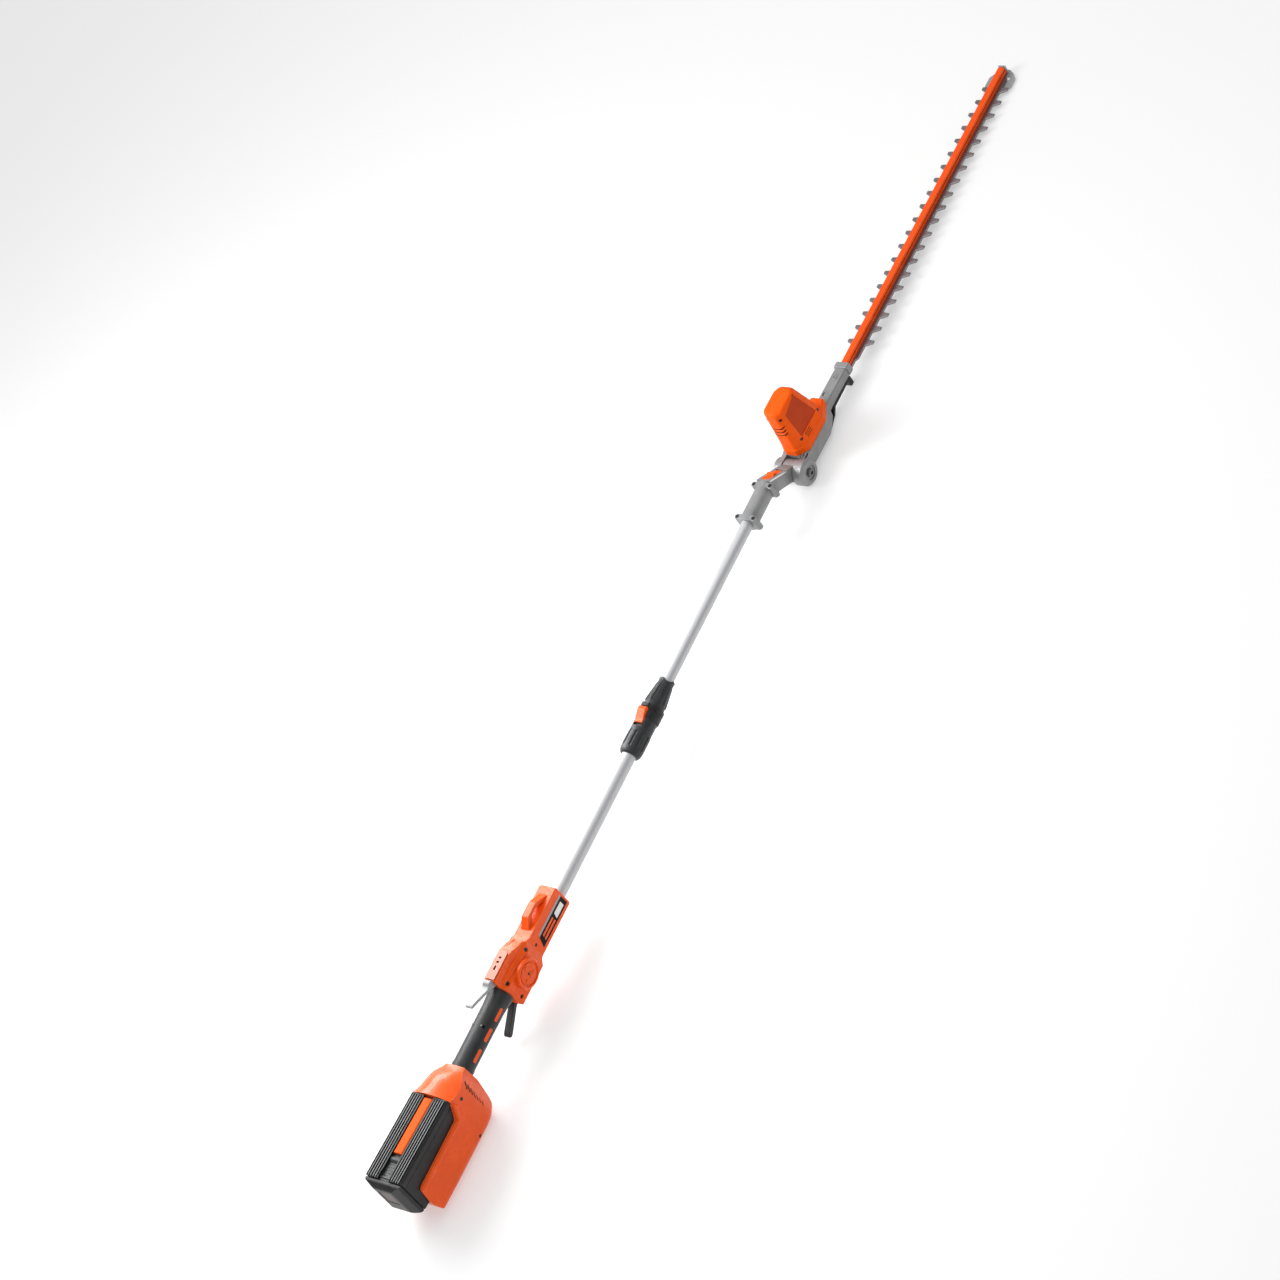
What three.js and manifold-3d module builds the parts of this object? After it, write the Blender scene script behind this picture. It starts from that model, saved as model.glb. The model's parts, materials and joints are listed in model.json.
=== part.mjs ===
// Cordless pole hedge trimmer: battery handle, telescopic pole, tilting cutting head.
// Millimetres, +X from the battery to the blade tip, +Y to the tool's left, +Z up.
import * as THREE from 'three';
import { mergeVertices } from 'three/addons/utils/BufferGeometryUtils.js';
import Module from 'manifold-3d';

const wasm = await Module();
wasm.setup();

// ---- driving dimensions -------------------------------------------------------------
// The pole axis lies on y = 0, z = 0 while the tool is drawn; the whole tool is then
// moved so that the middle of its footprint is the origin.
const FOOTPRINT_X = 149.86;
const FLOOR_Z = -67;
const GAP = 0.3;

const OUTER_TUBE = { radius: 12.5, bore: 11, from: -562, to: -66 };
const INNER_TUBE = { radius: 10.5, bore: 9.3, from: -300, to: 346 };

const GRIP = { radius: 18.5, bore: 14, z: 12, from: -779.7, to: -640.3 };
const BATTERY = { x: -848, tilt: 3, half: 38.5, wall: 3, low: -26, lid: 38, top: 52 };
const SEAM = GAP / 2;

const CONTROL = { rear: -640, front: -452, half: 23, neckHalf: 16, low: -30, top: 52 };
const LOCK = { rear: -188, ringFrom: -112, noseFrom: -88, front: -42, radius: 19.5 };
const SOCKET = { rear: 272, front: 350, radius: 16.5, ear: 16.5 };

const PIVOT = { x: 414, z: -43, bolt: 5, nearHalf: 34.5, farHalf: 31 };
const HEAD_TILT = 1.3;
const TONGUE_HALF = 13;

const MOTOR_X = 470;
const GEAR = { module: 0.8, gearTeeth: 46, pinionTeeth: 14 };
const CRANK_X = MOTOR_X + GEAR.module * (GEAR.gearTeeth + GEAR.pinionTeeth) / 2;
const CRANK = { throw: 5, pin: 3, shaft: 4 };
const CASE = { half: 27, top: -22, low: -54, noseHalf: 12.5, noseEnd: 618.7 };
const COLLAR = { from: 619, to: 631, half: 14, low: -41.5, top: -21 };

const BLADE = {
  rear: CRANK_X - 16.5,
  yokeHalf: 12,
  shankHalf: 9,
  bodyFrom: 655,
  tip: 1294,
  bodyHalf: 13,
  toothHalf: 27,
  pitch: 30.2,
  firstTooth: 690,
  teeth: 20,
  thickness: 2,
  upperZ: -39,
  lowerZ: -41.3,
};
const BAR = { from: 631.3, to: 1303, half: 6.5, low: -36.7, top: -25 };
const BOLT_X = [676, 960, 1280];

// ---- colours ------------------------------------------------------------------------
const ORANGE = { color: 0xff5510, roughness: 0.38, metalness: 0 };
const CHARCOAL = { color: 0x3c3d3f, roughness: 0.6, metalness: 0 };
const BLACK = { color: 0x1c1d1f, roughness: 0.55, metalness: 0 };
const LIGHT_GREY = { color: 0xb4b6b8, roughness: 0.45, metalness: 0 };
const CASTING = { color: 0x8f9193, roughness: 0.5, metalness: 0.7 };
const ALUMINIUM = { color: 0xe2e4e6, roughness: 0.3, metalness: 0.9 };
const STEEL = { color: 0x9a979a, roughness: 0.35, metalness: 1 };
const COPPER = { color: 0xb0683a, roughness: 0.4, metalness: 0.8 };
const BOARD = { color: 0x1e5a34, roughness: 0.6, metalness: 0 };
const CELL = { color: 0x2f6f9f, roughness: 0.4, metalness: 0.1 };

// ---- solids -------------------------------------------------------------------------
function toSolid(geometry) {
  geometry.deleteAttribute('normal');
  geometry.deleteAttribute('uv');
  const welded = mergeVertices(geometry, 1e-4);
  const index = welded.index.array;
  const triangles = [];
  for (let i = 0; i < index.length; i += 3) {
    const [a, b, c] = index.slice(i, i + 3);
    if (a !== b && b !== c && c !== a) triangles.push(a, b, c);
  }
  return new wasm.Manifold(new wasm.Mesh({
    numProp: 3,
    vertProperties: new Float32Array(welded.attributes.position.array),
    triVerts: new Uint32Array(triangles),
  }));
}

function toGeometry(solid) {
  const mesh = solid.getMesh();
  const geometry = new THREE.BufferGeometry();
  geometry.setAttribute('position', new THREE.BufferAttribute(mesh.vertProperties, 3));
  geometry.setIndex(new THREE.BufferAttribute(mesh.triVerts, 1));
  geometry.computeVertexNormals();
  return geometry;
}

// Outline in the plane across the axis: (y, z) for x, (x, z) for y and (x, y) for z.
function prism(axis, outline, from, to) {
  const shape = new THREE.Shape(outline.map(([a, b]) => new THREE.Vector2(a, b)));
  const geometry = new THREE.ExtrudeGeometry(shape, { depth: to - from, bevelEnabled: false });
  if (axis === 'x') {
    const [y, z, x] = [[0, 1, 0], [0, 0, 1], [1, 0, 0]].map((v) => new THREE.Vector3(...v));
    geometry.applyMatrix4(new THREE.Matrix4().makeBasis(y, z, x));
    geometry.translate(from, 0, 0);
  } else if (axis === 'y') {
    geometry.rotateX(Math.PI / 2);
    geometry.translate(0, to, 0);
  } else {
    geometry.translate(0, 0, from);
  }
  return toSolid(geometry);
}

function block(x, y, z) {
  const geometry = new THREE.BoxGeometry(x[1] - x[0], y[1] - y[0], z[1] - z[0]);
  geometry.translate((x[0] + x[1]) / 2, (y[0] + y[1]) / 2, (z[0] + z[1]) / 2);
  return toSolid(geometry);
}

// A turned solid: [place along the axis, radius] points, the outside first.
function turned(axis, profile, centre = [0, 0, 0], segments = 24) {
  const points = profile.map(([along, radius]) => new THREE.Vector2(radius, along));
  const geometry = new THREE.LatheGeometry(points, segments);
  if (axis === 'x') geometry.rotateZ(-Math.PI / 2);
  if (axis === 'z') geometry.rotateX(Math.PI / 2);
  geometry.translate(...centre);
  return toSolid(geometry);
}

function rod(axis, radius, from, to, centre, segments = 20) {
  return turned(axis, [[from, 0], [from, radius], [to, radius], [to, 0]], centre, segments);
}

function ring(axis, radius, bore, from, to, centre, segments = 24) {
  const profile = [[from, bore], [from, radius], [to, radius], [to, bore], [from, bore]];
  return turned(axis, profile, centre, segments);
}

// A straight loft along z between two outlines with the same number of points.
function loft(lower, lowZ, upper, highZ) {
  const count = lower.length;
  const clockwise = THREE.ShapeUtils.isClockWise(lower.map(([x, y]) => new THREE.Vector2(x, y)));
  const [low, high] = clockwise ? [[...lower].reverse(), [...upper].reverse()] : [lower, upper];
  const corners = [...low.map(([x, y]) => [x, y, lowZ]), ...high.map(([x, y]) => [x, y, highZ])];
  const caps = THREE.ShapeUtils.triangulateShape(low.map(([x, y]) => new THREE.Vector2(x, y)), []);
  const faces = [];
  for (let i = 0; i < count; i += 1) {
    const next = (i + 1) % count;
    faces.push(i, next, count + next, i, count + next, count + i);
  }
  for (const [a, b, c] of caps) {
    faces.push(a, c, b, count + a, count + b, count + c);
  }
  const geometry = new THREE.BufferGeometry();
  geometry.setAttribute('position', new THREE.Float32BufferAttribute(corners.flat(), 3));
  geometry.setIndex(faces);
  return toSolid(geometry);
}

// Rounds every corner of an outline with short arcs.
function rounded(outline, radius, steps = 3) {
  const result = [];
  outline.forEach((point, i) => {
    const corner = new THREE.Vector2(...point);
    const before = new THREE.Vector2(...outline.at(i - 1)).sub(corner);
    const after = new THREE.Vector2(...outline[(i + 1) % outline.length]).sub(corner);
    const reach = Math.min(radius, before.length() * 0.45, after.length() * 0.45);
    const start = before.normalize().multiplyScalar(reach).add(corner);
    const end = after.normalize().multiplyScalar(reach).add(corner);
    const curve = new THREE.QuadraticBezierCurve(start, corner, end);
    for (const p of curve.getPoints(steps)) result.push([p.x, p.y]);
  });
  return result;
}

function mirrored(outline) {
  return [...outline, ...outline.map(([a, b]) => [a, -b]).reverse()];
}

const FAR = 2000;
const LEFT_SIDE = block([-FAR, FAR], [SEAM, FAR], [-FAR, FAR]);
const RIGHT_SIDE = block([-FAR, FAR], [-FAR, -SEAM], [-FAR, FAR]);

// ---- scene graph --------------------------------------------------------------------
const trimmer = new THREE.Group();
const batteryBay = new THREE.Group();
const head = new THREE.Group();

function piece(name, solid, look, parent = trimmer) {
  const mesh = new THREE.Mesh(toGeometry(solid), new THREE.MeshStandardMaterial(look));
  mesh.name = name;
  parent.add(mesh);
}

function halves(name, solid, look, parent = trimmer) {
  piece(`${name}_left`, solid.intersect(LEFT_SIDE), look, parent);
  piece(`${name}_right`, solid.intersect(RIGHT_SIDE), look, parent);
}

// ---- battery and rear housing -------------------------------------------------------
function tiltedBlock(x, y, z) {
  const geometry = new THREE.BoxGeometry(x[1] - x[0], y[1] - y[0], z[1] - z[0]);
  geometry.translate((x[0] + x[1]) / 2, (y[0] + y[1]) / 2, (z[0] + z[1]) / 2);
  geometry.rotateY(THREE.MathUtils.degToRad(BATTERY.tilt));
  geometry.translate(BATTERY.x, 0, 0);
  return toSolid(geometry);
}

function addRearHousing() {
  const side = [
    [-980, -53], [-987, -22], [-981, 18], [-861, 18], [-846, 46], [-847, 58], [-838, 55.5],
    [-824, 52], [-810, 49], [-797, 42], [-788, 36], [-780, 32], [-780, -9], [-784, -22],
    [-788, -42], [-798, -59], [-809, -67], [-853, -67], [-858, -60],
  ];
  const plan = mirrored([
    [-990, 42], [-828, 42], [-816, 40], [-804, 34], [-793, 26], [-785, 21.5], [-779.9, 20],
  ]);
  const section = rounded([[-42, -67], [42, -67], [42, 62], [-42, 62]], 22, 5);
  const bayHalf = BATTERY.half + GAP;
  const bay = tiltedBlock([-200, 0.5], [-bayHalf, bayHalf], [BATTERY.low - GAP, 90]);
  const front = loft(
    mirrored([[-844, 38], [-828, 38], [-812, 33], [-800, 20], [-795, 10]]), -62,
    mirrored([[-844, 28], [-828, 28], [-814, 24], [-804, 14], [-800, 8]]), 44,
  );
  const under = tiltedBlock([-126, -2], [-38, 38], [-31, -29.3]);
  const belly = block([-972, -850], [-36, 36], [-52, -33]);
  const cableHole = rod('x', 9, -800, -770, [0, 0, GRIP.z]);
  const shell = prism('y', side, -50, 50)
    .intersect(prism('z', plan, -100, 100))
    .intersect(prism('x', section, -1000, -700))
    .subtract(bay)
    .subtract(front)
    .subtract(under)
    .subtract(belly)
    .subtract(cableHole);
  halves('rear_housing', shell, ORANGE);
  piece('controller_board', block([-835, -833], [-24, 24], [-40, 36]), BOARD);
}

function addTerminalBlock() {
  const base = block([-62, -8], [-11, 11], [BATTERY.low, -18]);
  piece('terminal_block', base, BLACK, batteryBay);
}

function addBattery() {
  const { half, wall, low, lid: lidZ, top } = BATTERY;
  const channel = 10.5;
  const section = rounded([[-half, low], [half, low], [half, lidZ], [-half, lidZ]], 4, 2);
  const outer = prism('x', section, -150, -0.5);
  const cavity = block([-150 + wall, -0.5 - wall], [-half + wall, half - wall], [low + wall, top]);
  const tunnel = block([-75, 10], [-15.5, 15.5], [low, -13]);
  const groove = block([-72, 10], [-12.5, 12.5], [low - 5, -15.5]);
  piece('battery_case', outer.subtract(cavity.subtract(tunnel)).subtract(groove), BLACK, batteryBay);

  let lid = block([-150, -0.5], [-half, half], [lidZ + GAP, top])
    .subtract(block([-160, -2], [-channel, channel], [lidZ + 8, 80]))
    .subtract(block([-151, -106], [-channel, channel], [lidZ + 3, 80]));
  for (const y of [[-half + wall, -channel - wall], [channel + wall, half - wall]]) {
    lid = lid.subtract(block([-150 + wall, -0.5 - wall], y, [lidZ, top - wall]));
  }
  piece('battery_lid', lid, BLACK, batteryBay);
  const capPlan = mirrored([[-164, 20], [-156, 36], [-150 - GAP, 37]]);
  piece('battery_end_cap', prism('z', capPlan, low + 1, top - 3), BLACK, batteryBay);
  const strip = block([-103, -4], [-9, 9], [lidZ + 8 + GAP, top]);
  piece('battery_strip', strip, ORANGE, batteryBay);
  const latch = block([-148, -108], [-9.5, 9.5], [lidZ + 6.5, lidZ + 10.5]);
  piece('battery_latch', latch, CHARCOAL, batteryBay);

  const cellPitch = 21;
  let cells = block([-134, -32], [-4, 4], [-2, 21]);
  for (let i = 0; i < 5; i += 1) {
    for (const z of [-1.5, 19.5]) {
      cells = cells.add(rod('y', 10.6, -35, 35, [-125 + i * cellPitch, 0, z], 16));
    }
  }
  piece('battery_cells', cells, CELL, batteryBay);
  piece('battery_board', block([-130, -20], [-30, 30], [32, 33.6]), BOARD, batteryBay);
}

// ---- grip and control housing -------------------------------------------------------
function addGrip() {
  const { radius, bore, z, from, to } = GRIP;
  const profile = [
    [from, bore], [from, radius], [to - 28, radius], [to - 8, radius + 2], [to, radius + 2.5],
    [to, bore], [from, bore],
  ];
  halves('grip', turned('x', profile, [0, 0, z], 28), CHARCOAL);
}

function controlShell() {
  const { rear, front, half, neckHalf, low, top } = CONTROL;
  const side = [
    [rear, -22], [rear + 9, low], [-574, low], [-557, -17], [front - 3, -17], [front, -13],
    [front, 27], [front - 4, 31], [-546, 31], [-560, 38], [-583, top], [rear, top],
  ];
  const plan = mirrored([[rear, half], [-572, half], [-552, neckHalf], [front, neckHalf]]);
  const section = [
    [-half, -20], [-15, low], [15, low], [half, -20], [half, 28], [13, 38], [11.5, top],
    [-11.5, top], [-13, 38], [-half, 28],
  ];
  const cavity = block([rear + 4, -572], [-19, 19], [low + 4, 26]);
  const upperCavity = block([rear + 12, -585], [-8.6, 8.6], [20, top - 3]);
  const leverSlot = block([rear - 5, -618], [-8.6, 8.6], [33, top - 3]);
  const triggerSlot = block([rear - 5, -618], [-7.3, 7.3], [low - 5, -11]);
  const neckCavity = block([-545, -460], [-11, 11], [14.5, 27]);
  const poleBore = rod('x', OUTER_TUBE.radius + GAP, -568, front + 10, [0, 0, 0], 24);
  const cableWay = rod('x', 7, -575, -560, [0, 0, 0]);
  const gripWay = rod('x', 9, rear - 5, rear + 6, [0, 0, GRIP.z]);
  return prism('y', side, -30, 30)
    .intersect(prism('z', plan, -60, 80))
    .intersect(prism('x', section, rear - 10, front + 10))
    .subtract(cavity)
    .subtract(upperCavity)
    .subtract(leverSlot)
    .subtract(triggerSlot)
    .subtract(neckCavity)
    .subtract(poleBore)
    .subtract(cableWay)
    .subtract(gripWay);
}

function addControlHousing() {
  halves('control_housing', controlShell(), ORANGE);
  const discZ = 8;
  for (const [side, name] of [[1, 'left'], [-1, 'right']]) {
    const near = CONTROL.half + GAP;
    const profile = [[0, 0], [0, 25], [5, 25], [7, 22.5], [7, 0]];
    const disc = turned('y', profile, [0, near, 0], 28);
    const turnedDisc = side > 0 ? disc : disc.rotate([0, 0, 180]);
    piece(`side_disc_${name}`, turnedDisc.translate([-596, 0, discZ]), ORANGE);
  }
  piece('indicator_panel', block([-637, -588], [-9, 9], [CONTROL.top + GAP, CONTROL.top + 2]), ORANGE);
  const arch = [
    [-535, 31.3], [-519, 46], [-492, 46], [-468, 31.3], [-479, 31.3], [-496, 39.5],
    [-511, 39.5], [-522, 31.3],
  ];
  piece('sling_loop', prism('y', arch, -8, 8), ORANGE);
  piece('main_switch', block([-622, -594], [-9, 9], [-8, 12]), BLACK);
}

function addTrigger() {
  const pin = [-628, 0, -21];
  const trigger = [
    [-624, -18], [-632, -16], [-643, -21], [-683, -42], [-687, -46], [-684, -51], [-679, -50],
    [-640, -28], [-630, -26], [-624, -24],
  ];
  const arm = prism('y', trigger, -6, 6).subtract(rod('y', 2.1, -10, 10, pin, 12));
  piece('trigger', arm, CHARCOAL);
  piece('trigger_pin', rod('y', 1.8, -18.5, 18.5, pin, 12), STEEL);
}

function addLockOff() {
  const pin = [-627, 0, 41];
  const lever = [
    [-622, 37], [-636, 35.5], [-643, 38], [-691, 57], [-696, 62], [-693, 66], [-643, 48.5],
    [-630, 46], [-622, 45],
  ];
  const arm = prism('y', lever, -7, 7).subtract(rod('y', 2.1, -10, 10, pin, 12));
  piece('lock_off_lever', arm, LIGHT_GREY);
  piece('lock_off_pin', rod('y', 1.8, -8.3, 8.3, pin, 12), STEEL);
}

// ---- telescopic pole ----------------------------------------------------------------
function addPoles() {
  const { rear, ringFrom, noseFrom, front, radius } = LOCK;
  const centre = [0, 0, 0];
  for (const [name, tube] of [['outer_tube', OUTER_TUBE], ['inner_tube', INNER_TUBE]]) {
    piece(name, ring('x', tube.radius, tube.bore, tube.from, tube.to, centre), ALUMINIUM);
  }
  const guide = ring('x', 10.7, 8.5, INNER_TUBE.from - 8, INNER_TUBE.from - GAP, centre);
  piece('tube_guide', guide, BLACK);

  const bore = OUTER_TUBE.radius + GAP;
  const pocket = block([-135, -106], [-8.6, 8.6], [13.2, 40]);
  const bell = turned('x', [
    [rear, bore], [rear, 15.5], [rear + 5, 18], [rear + 13, radius - 0.4], [rear + 20, radius],
    [ringFrom - GAP, radius], [ringFrom - GAP, bore], [rear, bore],
  ], centre, 28);
  piece('lock_grip', bell.subtract(pocket), CHARCOAL);
  const collar = ring('x', radius + 0.6, bore, ringFrom, noseFrom, centre, 28);
  piece('lock_ring', collar.subtract(pocket), BLACK);
  const sleeve = INNER_TUBE.radius + GAP;
  const nose = turned('x', [
    [noseFrom + GAP, bore], [noseFrom + GAP, 17.5], [front - 8, 12.8], [front, 13.6],
    [front, sleeve], [OUTER_TUBE.to + GAP, sleeve], [OUTER_TUBE.to + GAP, bore],
    [noseFrom + GAP, bore],
  ], centre, 28);
  piece('lock_nose', nose, CHARCOAL);

  const pin = [-130, 0, 16.6];
  const lever = [
    [-133, 16.6], [-132, 18.9], [-128, 19.8], [-112, 25.5], [-108.5, 25], [-109.5, 19],
    [-112, 14.5], [-130, 13.6], [-132, 14.4],
  ];
  const cam = prism('y', lever, -8, 8).subtract(rod('y', 1.6, -10, 10, pin, 12));
  piece('lock_lever', cam, ORANGE);
  piece('lock_lever_pin', rod('y', 1.3, -8.3, 8.3, pin, 12), STEEL);
}

// ---- clamp socket and knuckle arm ---------------------------------------------------
function socketBody() {
  const { rear, front, radius, ear } = SOCKET;
  const flange = rounded([[-ear, -14], [ear, -14], [ear, 14], [-ear, 14]], 6, 2);
  let body = rod('x', radius, rear, front, [0, 0, 0], 28)
    .add(prism('x', flange, rear, rear + 11))
    .add(prism('x', flange, front - 12, front));
  for (const x of [rear + 5.5, front - 6]) {
    for (const y of [-17, 17]) {
      body = body.add(rod('z', 5.5, -13, 13, [x, y, 0], 16));
    }
  }
  return body;
}

function screwHoles(solid) {
  let result = solid;
  for (const x of [SOCKET.rear + 5.5, SOCKET.front - 6]) {
    for (const y of [-17, 17]) {
      result = result.subtract(rod('z', 2.3, -20, 20, [x, y, 0], 12));
      result = result.subtract(rod('z', 4.1, 9.5, 20, [x, y, 0], 12));
    }
  }
  return result;
}

const ARM = { x: 350, z: 16.3, slope: 33, half: TONGUE_HALF };

function armBlock(s, y, n) {
  const geometry = new THREE.BoxGeometry(s[1] - s[0], y[1] - y[0], n[1] - n[0]);
  geometry.translate((s[0] + s[1]) / 2, (y[0] + y[1]) / 2, (n[0] + n[1]) / 2);
  geometry.rotateY(THREE.MathUtils.degToRad(ARM.slope));
  geometry.translate(ARM.x, 0, ARM.z);
  return toSolid(geometry);
}

function addSocketAndArm() {
  const body = screwHoles(socketBody());
  const tubeBore = rod('x', INNER_TUBE.radius + GAP, 200, INNER_TUBE.to + GAP, [0, 0, 0], 24);
  const capRegion = block([200, SOCKET.front], [-40, 40], [SEAM, 40]);
  piece('clamp_cap', body.subtract(tubeBore).intersect(capRegion), CASTING);

  const armSide = [
    [349, 16.3], [352, 16.3], [404, -17.5], [420, -30], [400, -50], [388, -36], [356, -18],
    [349, -16],
  ];
  const barrel = rod('y', 20, -TONGUE_HALF, TONGUE_HALF, [PIVOT.x, 0, PIVOT.z], 28);
  const shelf = block([200, SOCKET.front + GAP], [-40, 40], [-SEAM, 40]);
  const boltBore = rod('y', PIVOT.bolt + 0.1, -40, 40, [PIVOT.x, 0, PIVOT.z], 24);
  const recess = armBlock([5, 51], [-7.5, 7.5], [-9, 12]);
  const arm = body
    .add(prism('y', armSide, -ARM.half, ARM.half))
    .subtract(shelf)
    .add(barrel)
    .subtract(tubeBore)
    .subtract(recess)
    .subtract(boltBore);
  piece('knuckle_arm', arm, CASTING);

  let number = 1;
  for (const x of [SOCKET.rear + 5.5, SOCKET.front - 6]) {
    for (const y of [-17, 17]) {
      const profile = [[-12, 0], [-12, 2], [9.8, 2], [9.8, 3.8], [12.6, 3.8], [12.6, 0]];
      piece(`clamp_screw_${number}`, turned('z', profile, [x, y, 0], 12), STEEL);
      number += 1;
    }
  }
  const slider = armBlock([7, 45], [-7, 7], [-8, -0.5])
    .add(armBlock([22, 26], [-7, 7], [-4, 3.5]));
  piece('tilt_release', slider, ORANGE);
}

// ---- cutting head -------------------------------------------------------------------
function addPivotBolt() {
  const centre = [PIVOT.x, 0, PIVOT.z];
  const bolt = turned('y', [
    [-PIVOT.nearHalf - 3.5, 0], [-PIVOT.nearHalf - 3.5, 8], [-PIVOT.nearHalf - GAP, 8],
    [-PIVOT.nearHalf - GAP, PIVOT.bolt], [PIVOT.farHalf + 7, PIVOT.bolt], [PIVOT.farHalf + 7, 0],
  ], centre, 24);
  piece('pivot_bolt', bolt, STEEL, head);
  const nut = rod('y', 8.5, PIVOT.farHalf + GAP, PIVOT.farHalf + 6, centre, 6)
    .subtract(rod('y', PIVOT.bolt + GAP, 0, 50, centre, 24));
  piece('pivot_nut', nut, STEEL, head);
}

function addGearCase() {
  const { half, top, low, noseHalf, noseEnd } = CASE;
  const plan = mirrored([[430, half - 5], [438, half], [506, half], [540, noseHalf]]);
  const centre = [PIVOT.x, 0, PIVOT.z];
  const body = prism('z', plan, low, top);
  const nose = prism('y', [[530, top], [noseEnd, -23], [noseEnd, -42], [530, -42]], -noseHalf, noseHalf);
  const drums = rod('y', 24, -PIVOT.nearHalf, -TONGUE_HALF - 1, centre, 32)
    .add(rod('y', 21, TONGUE_HALF + 1, PIVOT.farHalf, centre, 32));
  const cheeks = block([PIVOT.x, 434], [-half + 4, half - 4], [low, top]);
  const gap = [-TONGUE_HALF - 1, TONGUE_HALF + 1];
  const tongueWay = rod('y', 21, ...gap, centre, 32)
    .add(block([370, PIVOT.x], gap, [-90, 0]))
    .add(block([PIVOT.x, PIVOT.x + 17.2], gap, [PIVOT.z + 10, 0]));
  const cavityPlan = mirrored([[447, 23], [504, 23], [534, noseHalf - 3], [550, noseHalf - 3]]);
  const cavity = prism('z', cavityPlan, low - 1, top - 4);
  const noseCavity = block([532, 640], [-noseHalf + 3, noseHalf - 3], [-60, -27]);
  const shaftWay = rod('z', 12, top - 10, top + 5, [MOTOR_X, 0, 0]);
  const boltBore = rod('y', PIVOT.bolt + 0.1, -50, 50, centre, 24);
  const caseSolid = body
    .add(nose)
    .add(drums)
    .add(cheeks)
    .subtract(tongueWay)
    .subtract(cavity)
    .subtract(noseCavity)
    .subtract(shaftWay)
    .subtract(boltBore);
  piece('gear_case', caseSolid, CASTING, head);

  const coverSide = [
    [440, low - GAP], [541, low - GAP], [553, -42 - GAP], [COLLAR.to, -42 - GAP], [COLLAR.to, -60],
    [COLLAR.to - 9, -60], [COLLAR.to - 11, -46.5], [556, -46.5], [543, low - 3], [440, low - 3],
  ];
  const coverPlan = mirrored([[440, 21], [504, 21], [541, noseHalf - 0.5], [640, 10]]);
  const cover = prism('y', coverSide, -30, 30).intersect(prism('z', coverPlan, -80, 0));
  piece('gear_case_cover', cover, BLACK, head);

  const flange = rounded([
    [-COLLAR.half, COLLAR.low], [COLLAR.half, COLLAR.low], [COLLAR.half, COLLAR.top],
    [-COLLAR.half, COLLAR.top],
  ], 4, 2);
  const bladeWay = block([600, 640], [-9.8, 9.8], [-50, -36.4]);
  piece('front_collar', prism('x', flange, COLLAR.from, COLLAR.to).subtract(bladeWay), CASTING, head);
}

function addMotor() {
  const baseZ = CASE.top + GAP;
  const deckZ = -6;
  const topZ = 77;
  const foot = [[430, 12], [447, 29], [508, 29], [543, 12]];
  const deck = [[432, 12], [447, 27], [508, 27], [526, 14]];
  const roof = [[438, 9], [447, 20], [492, 20], [502, 12]];
  const inset = (outline, by) => outline.map(([x, y], i) => [x + (i < 2 ? by : -by), y - by]);
  const shell = prism('z', mirrored(foot), baseZ, deckZ + 0.1)
    .add(loft(mirrored(deck), deckZ, mirrored(roof), topZ))
    .subtract(loft(mirrored(inset(deck, 3)), baseZ + 3, mirrored(inset(roof, 3)), topZ - 3))
    .subtract(rod('z', 12, baseZ - 5, baseZ + 8, [MOTOR_X, 0, 0]));
  halves('motor_housing', shell, ORANGE, head);

  const can = turned('z', [
    [-15, 2.5], [-15, 15], [52, 15], [52, 2.5], [50.5, 2.5], [50.5, 13.5], [-13.5, 13.5],
    [-13.5, 2.5], [-15, 2.5],
  ], [MOTOR_X, 0, 0], 24);
  piece('motor_can', can, STEEL, head);
  const rotor = turned('z', [
    [-36, 0], [-36, 2], [-6, 2], [-6, 10], [40, 10], [40, 2], [56, 2], [56, 0],
  ], [MOTOR_X, 0, 0], 24);
  piece('motor_rotor', rotor, COPPER, head);
}

// Straight-flanked spur gear teeth; phase is the angle of the middle of one tooth.
function gearOutline(teeth, phase) {
  const pitchRadius = GEAR.module * teeth / 2;
  const tip = pitchRadius + 0.6;
  const root = pitchRadius - 1;
  const points = [];
  for (let i = 0; i < teeth; i += 1) {
    const middle = phase + i * 2 * Math.PI / teeth;
    for (const [radius, halfWidth] of [[root, -0.72], [tip, -0.3], [tip, 0.3], [root, 0.72]]) {
      const angle = middle + halfWidth / radius;
      points.push([radius * Math.cos(angle), radius * Math.sin(angle)]);
    }
  }
  return points;
}

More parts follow.
